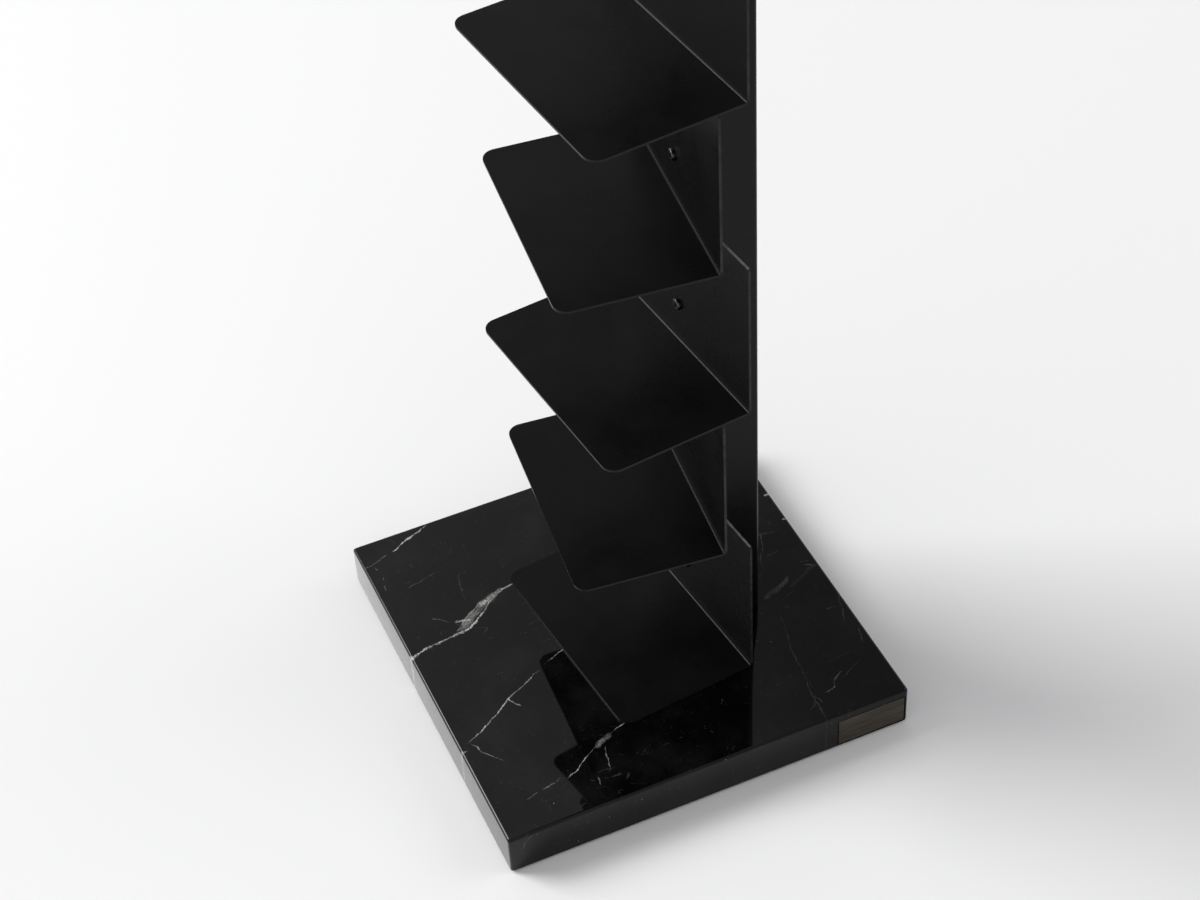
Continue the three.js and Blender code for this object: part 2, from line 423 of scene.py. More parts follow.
@dataclass(frozen=True)
class MarbleFinish(Finish):
    """Polished black marble with sparse white veins, hair cracks and specks.

    Args:
        name: The material's name.
        slot: The record's slot; not used.
        ground: The stone's darkest colour.
        cloud: The colour of its paler clouds.
        vein: The colour of veins, cracks and specks.
        polish: Roughness of the top.
        vein_polish: How much rougher the veins are.
        gloss: Specular level under the polish.
        coat: Weight of the polish on the top.
        side_coat: Its weight on the left and right sides.
        front_coat: Its weight on the front and back sides.
        far_fade: How much weight the sides lose towards the back.
        far_from: Place along Y, in millimetres, where that begins.
        far_to: Place along Y, in millimetres, where it is complete.
        coat_polish: Roughness of the polish.
        lean: How far the stone's pattern follows the height, as a share.
        span: Millimetres that a vein's course can reach across.
        side_polish: How much rougher the sides are.
        side_grain: Depth of the sides' unevenness in millimetres.
        edge_haze: How much rougher the rounded edges are.
        broad: Width in millimetres from which a vein swells less.
        veins: The veins that are seen one by one.
    """

    name: str = "black_marble"
    slot: Slot = Slot.MARBLE
    ground: Colour = (0.0012, 0.0012, 0.0014)
    cloud: Colour = (0.0055, 0.0055, 0.0058)
    vein: Colour = (0.6, 0.59, 0.57)
    polish: float = 0.045
    vein_polish: float = 0.12
    gloss: float = 0.08
    coat: float = 0.5
    side_coat: float = 0.36
    front_coat: float = 0.95
    far_fade: float = 0.14
    far_from: float = 40.0
    far_to: float = 170.0
    coat_polish: float = 0.03
    lean: float = 0.25
    span: float = 500.0
    side_polish: float = 0.04
    side_grain: float = 0.25
    edge_haze: float = 0.2
    broad: float = 3.0
    veins: tuple[Vein, ...] = (
        Vein(Along.Y, ((-147, -175), (-150, -163), (-153, -156), (-156, -149)), 1.0, 0.4),
        Vein(Along.Y, ((-156, -148), (-159, -138), (-162, -133), (-168, -119)), 1.4, 0.95),
        Vein(
            Along.Y,
            ((-159, -140), (-164, -127), (-166, -123), (-168, -117), (-173, -104)),
            width=1.4,
            strength=0.95,
        ),
        Vein(Along.X, ((-146, -167), (-139, -165)), 1.0, 0.24),
        Vein(Along.X, ((-131, -164), (-126, -165)), 1.0, 0.2),
        Vein(Along.X, ((-121, -167), (-115, -167)), 1.0, 0.18),
        Vein(Along.Y, ((-34, -234), (-34, -175), (-38, -161), (-41, -144), (-43, -127)), 2.3, 0.9),
        Vein(Along.Y, ((-36, -221), (-34, -165)), 6.5, 0.75),
        Vein(
            Along.Y,
            ((-41, -145), (-43, -127), (-46, -116), (-56, -102), (-67, -89), (-77, -60)),
            width=2.5,
        ),
        Vein(
            Along.Y,
            ((-44, -133), (-48, -126), (-56, -117), (-61, -110), (-66, -102), (-70, -91)),
            width=1.4,
            strength=0.7,
        ),
        Vein(
            Along.Y,
            ((-45, -131), (-48, -124), (-52, -117), (-57, -110), (-66, -95), (-71, -81)),
            width=8.6,
            strength=0.38,
        ),
        Vein(Along.Y, ((-61, -106), (-66, -97), (-69, -90), (-72, -82), (-75, -75)), 4.2, 0.85),
        Vein(Along.Y, ((-55, -130), (-55, -125), (-54, -119), (-51, -113)), 1.9, 0.9),
        Vein(Along.Y, ((-69, -144), (-62, -137), (-57, -132)), 0.8, 0.3),
        Vein(
            Along.Y,
            ((71, -172), (65, -157), (56, -139), (49, -129), (42, -118), (22, -80)),
            width=1.5,
            strength=0.9,
        ),
        Vein(Along.Y, ((79, -221), (77, -167)), 4.0, 0.7),
        Vein(Along.Y, ((22, -84), (8, -40), (4, 10)), 1.4, 0.6),
        Vein(Along.X, ((42, -121), (48, -117), (55, -112)), 1.4, 0.8),
        Vein(Along.X, ((69, -166), (76, -162), (85, -159), (91, -153), (102, -145)), 1.1, 0.5),
        Vein(Along.Y, ((143, -146), (141, -134)), 0.9, 0.26),
        Vein(Along.Y, ((139, -132), (138, -121), (133, -113)), 1.0, 0.3),
        Vein(Along.Y, ((139, -112), (135, -102), (133, -97), (128, -90), (124, -83)), 1.6, 0.9),
        Vein(Along.Y, ((131, -94), (128, -90), (124, -83), (119, -75), (114, -64)), 0.8, 0.35),
        Vein(Along.Y, ((114, -66), (103, -36), (85, 12)), 1.0, 0.5),
        Vein(Along.Y, ((120, -77), (117, -70), (114, -63), (112, -57)), 5.6, 0.27),
        Vein(Along.X, ((120, -67), (130, -71), (138, -73), (147, -75)), 0.8, 0.35),
        Vein(Along.X, ((147, -85), (157, -88)), 1.2, 0.26),
        Vein(Along.Y, ((36, 112), (31, 126), (28, 135), (19, 148)), 5.0, 0.12),
        Vein(Along.Y, ((32, 137), (28, 152), (22, 163), (18, 176)), 3.2, 0.035),
        Vein(Along.Y, ((10, 159), (13, 168)), 1.2, 0.12),
        Vein(Along.Y, ((15, 161), (20, 170)), 1.4, 0.14),
        Vein(Along.Y, ((-72, 169), (-73, 178)), 1.9, 0.6),
        Vein(Along.Y, ((-41, 170), (-40, 178)), 1.7, 0.6),
        Vein(Along.Y, ((-33, 141), (-32, 151), (-28, 162)), 1.0, 0.06),
        Vein(Along.Y, ((69, 156), (70, 166)), 1.3, 0.14),
        Vein(Along.X, ((96, 172), (104, 170), (114, 169)), 1.4, 0.12),
        Vein(
            Along.X,
            ((30, 126), (51, 122), (70, 117), (105, 109), (136, 104), (209, 99)),
            width=1.0,
            strength=0.07,
        ),
        Vein(Along.X, ((-39, 147), (-17, 141), (-8, 134), (10, 132)), 1.2, 0.1),
        Vein(Along.X, ((52, 176), (72, 169), (92, 163)), 1.3, 0.09),
        Vein(
            Along.Y,
            ((149, 111), (147, 120), (145, 124), (141, 126), (137, 130), (134, 139)),
            width=1.5,
            strength=0.24,
        ),
        Vein(Along.Y, ((142, 131), (135, 144), (128, 158)), 1.1, 0.07),
        Vein(Along.X, ((146, 102), (152, 106), (158, 105)), 1.0, 0.08),
        Vein(Along.Y, ((-107, -155), (-111, -137), (-116, -117)), 1.1, 0.14),
        Vein(Along.X, ((-111, -102), (-91, -108), (-72, -111)), 1.0, 0.09),
    )

    def build(self) -> bpy.types.Material:
        """Builds the material.

        Returns:
            The finished material.
        """
        material, tree, shader, place = self.start()
        leant = tree.vector("MULTIPLY", place, (1.0, 1.0, self.lean))
        warped = self._warp(tree, leant)
        named = self._named_veins(tree, warped, place)
        hair = self._hair_lines(tree, warped, place)
        specks = self._specks(tree, place)
        clouds = tree.ramp(tree.noise(warped, scale=0.018, detail=5.0, rough=0.62), low=0.42, high=0.72)
        ground = tree.blend(clouds, opaque(self.ground), opaque(self.cloud))
        marks = tree.math("MAXIMUM", tree.math("MAXIMUM", named, hair), specks)
        colour = tree.blend(marks, ground, opaque(self.vein))
        tree.link(colour, shader.inputs["Base Color"])
        normal = tree.add("ShaderNodeNewGeometry").outputs["Normal"]
        facing = tree.add("ShaderNodeSeparateXYZ", Vector=normal).outputs
        flat = tree.ramp(tree.math("ABSOLUTE", facing["Z"]), low=0.5, high=0.95)
        side = tree.math("SUBTRACT", 1.0, flat)
        tree.link(self._rough(tree, place, marks, side), shader.inputs["Roughness"])
        grain = tree.math("MULTIPLY", side, tree.noise(place, scale=0.4, detail=4.0, rough=0.65))
        bump = tree.add("ShaderNodeBump", Height=grain, Strength=1.0, Distance=self.side_grain * MM)
        tree.link(bump.outputs["Normal"], shader.inputs["Normal"])
        tree.link(self._coat(tree, place, facing["Y"], flat, side), shader.inputs["Coat Weight"])
        shader.inputs["Specular IOR Level"].default_value = self.gloss
        shader.inputs["Coat Roughness"].default_value = self.coat_polish
        return material

    def _rough(self, tree: Tree, place: Link, marks: Link, side: Link) -> Link:
        """Roughness: least on the top, more on veins, sides and rounded edges."""
        uneven = tree.noise(place, scale=0.6, detail=4.0, rough=0.7)
        haze = tree.math("MULTIPLY", uneven, self.side_polish * 2)
        rough = tree.math("MULTIPLY_ADD", side, haze, self.polish)
        rough = tree.math("MULTIPLY_ADD", marks, self.vein_polish, rough)
        edge = tree.add("ShaderNodeAttribute", {"attribute_name": EDGE_MASK}).outputs["Fac"]
        return tree.math("MULTIPLY_ADD", edge, self.edge_haze, rough)

    def _coat(self, tree: Tree, place: Link, facing_y: Link, flat: Link, side: Link) -> Link:
        """The polish's weight, which differs from face to face of the slab."""
        lengthwise = tree.math("ABSOLUTE", facing_y)
        coat = tree.ramp(lengthwise, low=0.6, high=0.95, to_low=self.side_coat, to_high=self.front_coat)
        coat = tree.math("MULTIPLY_ADD", flat, self.coat - self.side_coat, coat)
        along = tree.add("ShaderNodeSeparateXYZ", Vector=place).outputs["Y"]
        far = tree.ramp(along, low=self.far_from, high=self.far_to, to_high=self.far_fade)
        return tree.math("SUBTRACT", coat, tree.math("MULTIPLY", side, far))

    @staticmethod
    def _warp(tree: Tree, place: Link) -> Link:
        """Bends coordinates a little, as layers in stone are bent."""
        for scale, reach in ((0.022, 7.0), (0.11, 3.4), (0.5, 1.1)):
            noise = tree.noise(place, scale, detail=2.0, output="Color")
            swing = tree.vector("SUBTRACT", noise, (0.5, 0.5, 0.5))
            move = tree.vector("MULTIPLY", swing, (reach, reach, 0.0))
            place = tree.vector("ADD", place, move)
        return place

    def _named_veins(self, tree: Tree, warped: Link, place: Link) -> Link:
        """The veins that are seen one by one."""
        group = vein_line_group()
        parts = tree.add("ShaderNodeSeparateXYZ", Vector=warped).outputs
        swelling = tree.noise(place, scale=0.13, detail=4.0, rough=0.7)
        swell = tree.ramp(swelling, low=0.34, high=0.66, to_low=0.3, to_high=1.4)
        even_share = 0.7
        even = tree.math("MULTIPLY_ADD", swell, 1 - even_share, even_share)
        spots = tree.noise(place, scale=0.6, detail=4.0, rough=0.8)
        mottle = tree.ramp(spots, low=0.38, high=0.6, to_low=0.25)
        breaks = tree.noise(place, scale=0.075, rough=0.6)
        gaps = tree.ramp(breaks, low=0.4, high=0.52, to_low=0.45)
        total: Link | None = None
        for vein in self.veins:
            axis = vein.along.value
            first, last = vein.points[0][axis], vein.points[-1][axis]
            gone = tree.math("SUBTRACT", parts[axis], first)
            share = tree.math("DIVIDE", gone, last - first, clamp=True)
            node = tree.add(
                "ShaderNodeGroup",
                {"node_tree": group},
                Across=parts[1 - axis],
                Course=self._course(tree, vein, share),
                Share=share,
                Swell=even if vein.width > self.broad else swell,
                Width=vein.width,
                Strength=vein.strength,
            )
            mask = node.outputs["Mask"]
            total = mask if total is None else tree.math("MAXIMUM", total, mask)
        return tree.math("MULTIPLY", total, tree.math("MULTIPLY", mottle, gaps))

    def _course(self, tree: Tree, vein: Vein, share: Link) -> Link:
        """Where a vein lies across the axis that it follows, in millimetres."""
        axis = vein.along.value
        first, last = vein.points[0][axis], vein.points[-1][axis]
        curve = tree.add("ShaderNodeFloatCurve", Value=share)
        places = []
        for point in vein.points:
            places.append(((point[axis] - first) / (last - first), point[1 - axis] / self.span + 0.5))
        line = curve.mapping.curves[0]
        line.points[0].location = places[0]
        line.points[-1].location = places[-1]
        for x, y in places[1:-1]:
            line.points.new(x, y)
        curve.mapping.update()
        return tree.math("MULTIPLY", tree.math("SUBTRACT", curve.outputs["Value"], 0.5), self.span)

    @staticmethod
    def _hair_lines(tree: Tree, warped: Link, place: Link) -> Link:
        """Hair cracks: level lines of soft hills, shown here and there only."""
        lines: Link | None = None
        drawn_out = tree.vector("MULTIPLY", warped, (1.0, 0.45, 1.0))
        sizes = ((0.011, 0.0022, 0.08), (0.03, 0.004, 0.05), (0.08, 0.009, 0.035))
        patches = 2.3
        for scale, width, strength in sizes:
            hills = tree.noise(drawn_out, scale, detail=1.0, rough=0.4)
            height = tree.math("ABSOLUTE", tree.math("SUBTRACT", hills, 0.5))
            line = tree.ramp(height, low=0.0, high=width, to_low=1.0, to_high=0.0)
            shown = tree.ramp(tree.noise(place, scale * patches), low=0.56, high=0.66)
            line = tree.math("MULTIPLY", tree.math("MULTIPLY", line, shown), strength)
            lines = line if lines is None else tree.math("MAXIMUM", lines, line)
        return lines

    @staticmethod
    def _specks(tree: Tree, place: Link) -> Link:
        """Small white crystals, in loose clusters."""
        spots: Link | None = None
        soft = 0.06
        for scale, size, chosen, strength in ((0.16, 0.1, 0.86, 0.6), (0.45, 0.16, 0.88, 0.16)):
            cells = tree.add("ShaderNodeTexVoronoi", {"feature": "F1"}, Vector=place, Scale=scale)
            distance = cells.outputs["Distance"]
            spot = tree.ramp(distance, low=size / 2, high=size, to_low=1.0, to_high=0.0)
            pick = tree.add("ShaderNodeSeparateColor", Color=cells.outputs["Color"]).outputs[0]
            spot = tree.math("MULTIPLY", spot, tree.ramp(pick, low=chosen, high=chosen + soft))
            cluster = tree.ramp(tree.noise(place, scale=0.03), low=0.48, high=0.64)
            spot = tree.math("MULTIPLY", tree.math("MULTIPLY", spot, cluster), strength)
            spots = spot if spots is None else tree.math("MAXIMUM", spots, spot)
        return spots


@dataclass(frozen=True)
class GrainFinish(Finish):
    """An even finish whose gloss varies with a fine grain and wide clouds.

    Args:
        name: The material's name.
        slot: The record's slot; not used.
        colour: The surface's colour.
        worn: The colour that the clouds lean to.
        smooth: Roughness where it is glossiest.
        rough: Roughness where it is dullest.
        grain: Size of the grain in millimetres.
        bump: Depth of the grain in millimetres.
        edge: The colour of rubbed edges; on the lacquer it is also a painted highlight along the rims,
            on the bronze a painted shade round the plate.
        metal: 1 for bare metal, 0 for paint and rubber.
        gloss: Specular level.
        stretch: How the grain is drawn out along X, Y and Z.
        cloud: Size of the wide clouds in millimetres.
        rubbed: Share of the least roughness that rubbing takes away.
    """

    name: str
    slot: Slot
    colour: Colour
    worn: Colour
    smooth: float
    rough: float
    grain: float
    bump: float
    edge: Colour
    metal: float = 0.0
    gloss: float = 0.5
    stretch: tuple[float, float, float] = (1.0, 1.0, 1.0)
    cloud: float = 40.0
    rubbed: float = 1 / 3

    def build(self) -> bpy.types.Material:
        """Builds the material.

        Returns:
            The finished material.
        """
        material, tree, shader, place = self.start()
        drawn = tree.vector("MULTIPLY", place, tuple(1 / s for s in self.stretch))
        grain = tree.add(
            "ShaderNodeGroup",
            {"node_tree": surface_grain_group()},
            Place=drawn,
            Grain_Size=self.grain,
            Cloud_Size=self.cloud,
            Smooth=self.smooth,
            Rough=self.rough,
        ).outputs
        # Edge mask: rubbed wear, plus a painted highlight on the lacquer's rims and a painted shade on
        # the bronze plate's rim.
        rubbing_and_light = tree.add("ShaderNodeGroup", {"node_tree": edge_wear_and_light_group()}, Place=place)
        wear_and_light = rubbing_and_light.outputs["Mask"]
        rough = tree.math("MULTIPLY_ADD", wear_and_light, -self.smooth * self.rubbed, grain["Roughness"])
        tree.link(rough, shader.inputs["Roughness"])
        colour = tree.blend(grain["Cloud"], opaque(self.colour), opaque(self.worn))
        tree.link(tree.blend(wear_and_light, colour, opaque(self.edge)), shader.inputs["Base Color"])
        bump = tree.add("ShaderNodeBump", Height=grain["Height"], Strength=1.0, Distance=self.bump * MM)
        tree.link(bump.outputs["Normal"], shader.inputs["Normal"])
        shader.inputs["Metallic"].default_value = self.metal
        shader.inputs["Specular IOR Level"].default_value = self.gloss
        return material


LACQUER = GrainFinish(
    name="satin_black_lacquer",
    slot=Slot.LACQUER,
    colour=(0.0034, 0.0034, 0.0036),
    worn=(0.0046, 0.0046, 0.0048),
    smooth=0.24,
    rough=0.33,
    grain=0.7,
    bump=0.0025,
    # Pale edge colour: rubbed wear and a painted highlight along the sheets' rims.
    edge=(0.3, 0.3, 0.303),
    gloss=0.15,
)
BRONZE = GrainFinish(
    name="dark_bronze",
    slot=Slot.BRONZE,
    colour=(0.099, 0.083, 0.066),
    worn=(0.058, 0.049, 0.039),
    smooth=0.28,
    rough=0.46,
    grain=0.25,
    cloud=1.3,
    bump=0.012,
    # Near-black edge colour: painted shade on the plate's rim in its recess.
    edge=(0.006, 0.005, 0.004),
    metal=1.0,
    stretch=(1.0, 18.0, 1.0),
)
RUBBER = GrainFinish(
    name="black_rubber",
    slot=Slot.RUBBER,
    colour=(0.02, 0.02, 0.02),
    worn=(0.028, 0.028, 0.027),
    smooth=0.75,
    rough=0.9,
    grain=0.5,
    bump=0.05,
    edge=(0.04, 0.04, 0.04),
    gloss=0.3,
)
BLACK_STEEL = GrainFinish(
    name="blackened_steel",
    slot=Slot.SCREW,
    colour=(0.03, 0.03, 0.032),
    worn=(0.045, 0.045, 0.047),
    smooth=0.28,
    rough=0.42,
    grain=0.3,
    bump=0.004,
    edge=(0.12, 0.12, 0.12),
    metal=1.0,
)
ZINC_STEEL = GrainFinish(
    name="zinc_plated_steel",
    slot=Slot.ZINC,
    colour=(0.52, 0.53, 0.54),
    worn=(0.43, 0.44, 0.45),
    smooth=0.25,
    rough=0.42,
    grain=0.8,
    bump=0.004,
    edge=(0.7, 0.7, 0.7),
    metal=1.0,
)
MARBLE = MarbleFinish()


# Mesh work


@dataclass(frozen=True)
class Corner:
    """A corner of an outline.

    Args:
        x: First coordinate.
        y: Second coordinate.
        radius: Radius that rounds it, more than 0.
    """

    x: float
    y: float
    radius: float


def rounded(corners: Sequence[Corner], steps: int, ease: float = 0.0) -> list[Vector]:
    """Draws a closed outline with round corners.

    Args:
        corners: The corners in order.
        steps: How many chords make a round corner.
        ease: Length beside a round corner that gets a point of its own, which keeps the
            long flats from being shaded round.

    Returns:
        The outline's points.
    """
    points: list[Vector] = []
    count = len(corners)
    for i, corner in enumerate(corners):
        here = Vector((corner.x, corner.y))
        before, after = corners[i - 1], corners[(i + 1) % count]
        back = (Vector((before.x, before.y)) - here).normalized()
        ahead = (Vector((after.x, after.y)) - here).normalized()
        half = math.acos(max(-1.0, min(1.0, back.dot(ahead)))) / 2
        middle = here + (back + ahead).normalized() * (corner.radius / math.sin(half))
        start = here + back * (corner.radius / math.tan(half)) - middle
        end = here + ahead * (corner.radius / math.tan(half)) - middle
        sweep = math.atan2(start.x * end.y - start.y * end.x, start.dot(end))
        arc = [middle + rotated(start, sweep * k / steps) for k in range(steps + 1)]
        if ease > 0:
            arc = [arc[0] + back * ease, *arc, arc[-1] + ahead * ease]
        points.extend(arc)
    return points


def rotated(vector: Vector, angle: float) -> Vector:
    """Turns a flat vector."""
    cos, sin = math.cos(angle), math.sin(angle)
    return Vector((vector.x * cos - vector.y * sin, vector.x * sin + vector.y * cos))


def rectangle(width: float, depth: float, radius: float) -> list[Corner]:
    """The four corners of a rectangle about the origin."""
    x, y = width / 2, depth / 2
    return [Corner(*xy, radius) for xy in ((-x, -y), (x, -y), (x, y), (-x, y))]


def circle(radius: float, sides: int) -> list[Vector]:
    """Points round a circle, flat."""
    turns = (math.tau * k / sides for k in range(sides))
    return [Vector((radius * math.cos(turn), radius * math.sin(turn))) for turn in turns]


def loft(rings: Sequence[Sequence[Vector]], closed: bool = False) -> bmesh.types.BMesh:
    """Skins a row of rings that have the same number of points.

    Args:
        rings: The rings, each a list of points in space.
        closed: Join the last ring to the first, in place of a face on each end.

    Returns:
        The skinned mesh, facing outwards.
    """
    mesh = bmesh.new()
    rows = [[mesh.verts.new(p) for p in ring] for ring in rings]
    pairs = list(zip(rows, rows[1:])) + ([(rows[-1], rows[0])] if closed else [])
    for lower, upper in pairs:
        for k in range(len(lower)):
            nxt = (k + 1) % len(lower)
            mesh.faces.new((lower[k], lower[nxt], upper[nxt], upper[k]))
    if not closed:
        mesh.faces.new(list(reversed(rows[0])))
        mesh.faces.new(rows[-1])
    bmesh.ops.recalc_face_normals(mesh, faces=mesh.faces)
    return mesh


def level(outline: Iterable[Vector], z: float, centre: Vector = Vector((0, 0, 0))) -> list[Vector]:
    """Lifts a flat outline to a height, about a centre."""
    return [Vector((p.x, p.y, z)) + centre for p in outline]


def middle_of(low: Vector, high: Vector) -> Vector:
    """The middle of a box, at height zero."""
    return Vector(((low.x + high.x) / 2, (low.y + high.y) / 2, 0))


def piece(name: str, mesh: bmesh.types.BMesh, sharp: float = SHARP) -> bpy.types.Object:
    """Makes an object at the origin from a mesh, smooth but for its sharp edges.

    Args:
        name: The object's name.
        mesh: The mesh, which is used up.
        sharp: Angle in degrees from which an edge is sharp.

    Returns:
        The object, in the scene.
    """
    data = bpy.data.meshes.new(name)
    mesh.to_mesh(data)
    mesh.free()
    shade(data, sharp)
    thing = bpy.data.objects.new(name, data)
    bpy.context.scene.collection.objects.link(thing)
    return thing


def shade(data: bpy.types.Mesh, sharp: float) -> None:
    """Shades a mesh smooth and marks edges sharp from an angle in degrees."""
    data.shade_smooth()
    data.set_sharp_from_angle(angle=math.radians(sharp))


def evenly(face: bpy.types.MeshPolygon) -> float:
    """The full edge level on every edge face alike: rubbed wear, and painted light on lacquer and
    bronze.
    """
    return 1.0


def settled(thing: bpy.types.Object, name: str, wear_and_light: WearAndLight = evenly) -> bpy.types.Object:
    """Applies an object's modifiers by making a plain copy of its evaluated mesh.

    Args:
        thing: The object with modifiers, which is deleted.
        name: The copy's name.
        wear_and_light: Says how rubbed each edge face is, and so how much painted highlight or shade it
            gets on lacquer and bronze.

    Returns:
        The copy.
    """
    graph = bpy.context.evaluated_depsgraph_get()
    data = bpy.data.meshes.new_from_object(thing.evaluated_get(graph), depsgraph=graph)
    bpy.data.objects.remove(thing)
    data.name = name
    shade(data, SHARP)
    mark_edges(data, wear_and_light)
    copy = bpy.data.objects.new(name, data)
    bpy.context.scene.collection.objects.link(copy)
    return copy


def mark_edges(data: bpy.types.Mesh, wear_and_light: WearAndLight) -> None:
    """Turns the number that edge faces have into a mask, which the finish reads."""
    if EDGE_MASK in data.attributes:
        return
    mask = data.attributes.new(EDGE_MASK, "FLOAT", "CORNER")
    for face in data.polygons:
        share = wear_and_light(face) if face.material_index == 1 else 0.0
        for loop in face.loop_indices:
            mask.data[loop].value = share
        face.material_index = 0
    data.materials.clear()


def soften(thing: bpy.types.Object, width: float, steps: int, limit: float) -> None:
    """Rounds a piece's sharp edges, and gives the rounded faces a number of their own.

    Args:
        thing: The piece.
        width: How far the rounding reaches.
        steps: How many facets it has.
        limit: Angle in degrees from which an edge is rounded.
    """
    bevel = thing.modifiers.new("soft edges", "BEVEL")
    bevel.width = width
    bevel.segments = steps
    bevel.limit_method = "ANGLE"
    bevel.angle_limit = math.radians(limit)
    bevel.material = 1
    thing.data.materials.append(None)
    thing.data.materials.append(None)


def carved(thing: bpy.types.Object, tools: Sequence[bpy.types.Object], name: str) -> bpy.types.Object:
    """Cuts tools out of a piece, for good.

    Args:
        thing: The piece, which is used up.
        tools: What is cut out of it, used up too.
        name: The cut piece's name.

    Returns:
        The cut piece.
    """
    for tool in tools:
        cut = thing.modifiers.new("cut", "BOOLEAN")
        cut.operation = "DIFFERENCE"
        cut.solver = "EXACT"
        cut.object = tool
    result = settled(thing, name)
    for tool in tools:
        bpy.data.objects.remove(tool)
    return result


def bored(thing: bpy.types.Object, low: float, high: float) -> bpy.types.Object:
    """Bores the bolts' holes through a piece.

    Args:
        thing: The piece, which is used up.
        low: Where the bores begin.
        high: Where they end.

    Returns:
        The bored piece.
    """
    tools = []
    outline = circle(BORE_RADIUS, BORE_SIDES)
    for number, bolt in enumerate(BOLTS, 1):
        centre = middle_of(*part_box(bolt))
        ends = [level(outline, z, centre) for z in (low - BORE_OVERRUN, high + BORE_OVERRUN)]
        tools.append(piece(f"bore_{number}", loft(ends)))
    return carved(thing, tools, thing.name)


# Geometry node trees


def turned_stack_tree() -> bpy.types.NodeTree:
    """The rule of the spine: copies stand above one another, turned right and left.

    Returns:
        A tree that places its geometry Count times, from the place numbered Place.
    """
    group = new_group(
        "turned stack",
        "GeometryNodeTree",
        [
            ("Geometry", "INPUT", "NodeSocketGeometry", None),
            ("Count", "INPUT", "NodeSocketInt", 11),
            ("Place", "INPUT", "NodeSocketInt", 0),
            ("First Height", "INPUT", "NodeSocketFloat", 0.0),
            ("Pitch", "INPUT", "NodeSocketFloat", 0.1),
            ("Plate Line", "INPUT", "NodeSocketFloat", 0.0),
            ("Turn", "INPUT", "NodeSocketFloat", 0.1),
            ("Material", "INPUT", "NodeSocketMaterial", None),
            ("Geometry", "OUTPUT", "NodeSocketGeometry", None),
        ],
    )
    given = group.add("NodeGroupInput").outputs
    result = group.add("NodeGroupOutput")
    start = group.math("MULTIPLY_ADD", given["Place"], given["Pitch"], given["First Height"])
    start_place = group.add("ShaderNodeCombineXYZ", Y=given["Plate Line"], Z=start).outputs[0]
    step = group.add("ShaderNodeCombineXYZ", Z=given["Pitch"]).outputs[0]
    line = group.add(
        "GeometryNodeMeshLine",
        {"mode": "OFFSET"},
        Count=given["Count"],
        Start_Location=start_place,
        Offset=step,
    )
    number = group.math("ADD", group.add("GeometryNodeInputIndex").outputs[0], given["Place"])
    odd = group.math("MODULO", number, 2.0)
    way = group.math("MULTIPLY_ADD", odd, -2.0, 1.0)
    turn = group.add("ShaderNodeCombineXYZ", Z=group.math("MULTIPLY", way, given["Turn"])).outputs[0]
    copies = group.add(
        "GeometryNodeInstanceOnPoints",
        Points=line.outputs[0],
        Instance=given["Geometry"],
        Rotation=turn,
    )
    hand_out(group, copies, given["Material"], result)
    return group.nodes


def four_corners_tree() -> bpy.types.NodeTree:
    """Four copies at the corners of a rectangle.

    Returns:
        A tree that places its geometry at Across and Along from Centre.
    """
    group = new_group(
        "four corners",
        "GeometryNodeTree",
        [
            ("Geometry", "INPUT", "NodeSocketGeometry", None),
            ("Across", "INPUT", "NodeSocketFloat", 0.1),
            ("Along", "INPUT", "NodeSocketFloat", 0.1),
            ("Centre", "INPUT", "NodeSocketVector", None),
            ("Material", "INPUT", "NodeSocketMaterial", None),
            ("Geometry", "OUTPUT", "NodeSocketGeometry", None),
        ],
    )
    given = group.add("NodeGroupInput").outputs
    result = group.add("NodeGroupOutput")
    grid = group.add(
        "GeometryNodeMeshGrid",
        Size_X=given["Across"],
        Size_Y=given["Along"],
        Vertices_X=2,
        Vertices_Y=2,
    )
    placed = group.add("GeometryNodeTransform", Geometry=grid.outputs[0], Translation=given["Centre"])
    copies = group.add(
        "GeometryNodeInstanceOnPoints",
        Points=placed.outputs[0],
        Instance=given["Geometry"],
    )
    hand_out(group, copies, given["Material"], result)
    return group.nodes


def hand_out(group: Tree, copies: bpy.types.Node, material: Link, result: bpy.types.Node) -> None:
    """Makes a geometry tree's copies real and dresses them on their way out.

    Args:
        group: The tree.
        copies: The node that makes the copies.
        material: What they wear.
        result: The tree's output node.
    """
    plain = group.add("GeometryNodeRealizeInstances", Geometry=copies.outputs[0])
    dressed = group.add("GeometryNodeSetMaterial", Geometry=plain.outputs[0], Material=material)
    group.link(dressed.outputs[0], result.inputs["Geometry"])


def grow(
    pattern: bpy.types.Object, tree: bpy.types.NodeTree, name: str, values: dict[str, object]
) -> bpy.types.Object:
    """Runs a geometry tree on a pattern piece and keeps the result as a plain piece.

    Args:
        pattern: The piece that is repeated. It stays as it is.
        tree: The geometry tree.
        name: The new piece's name.
        values: The tree's inputs by name.

    Returns:
        The new piece.
    """
    carrier = bpy.data.objects.new(name + "_carrier", pattern.data)
    bpy.context.scene.collection.objects.link(carrier)
    modifier = carrier.modifiers.new("rule", "NODES")
    modifier.node_group = tree
    for socket in tree.interface.items_tree:
        if socket.item_type == "SOCKET" and socket.in_out == "INPUT" and socket.name in values:
            modifier[socket.identifier] = values[socket.name]
    return settled(carrier, name)


def hand_over(thing: bpy.types.Object, finish: Finish, *nodes: str) -> None:
    """Ties a finished piece to the frame.

    Args:
        thing: The piece.
        finish: The finish that it wears.
        *nodes: The construction nodes that it stands for.
    """
    if not thing.data.materials or thing.data.materials[0] is None:
        thing.data.materials.clear()
        thing.data.materials.append(material_of(finish))
    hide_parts(*nodes)
    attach(thing, BODY)
    LOG.info("%s: %d faces, for %d nodes", thing.name, len(thing.data.polygons), len(nodes))


@cache
def material_of(finish: Finish) -> bpy.types.Material:
    """Gives a finish's material, built once."""
    return finish.build()


# The bookshelf


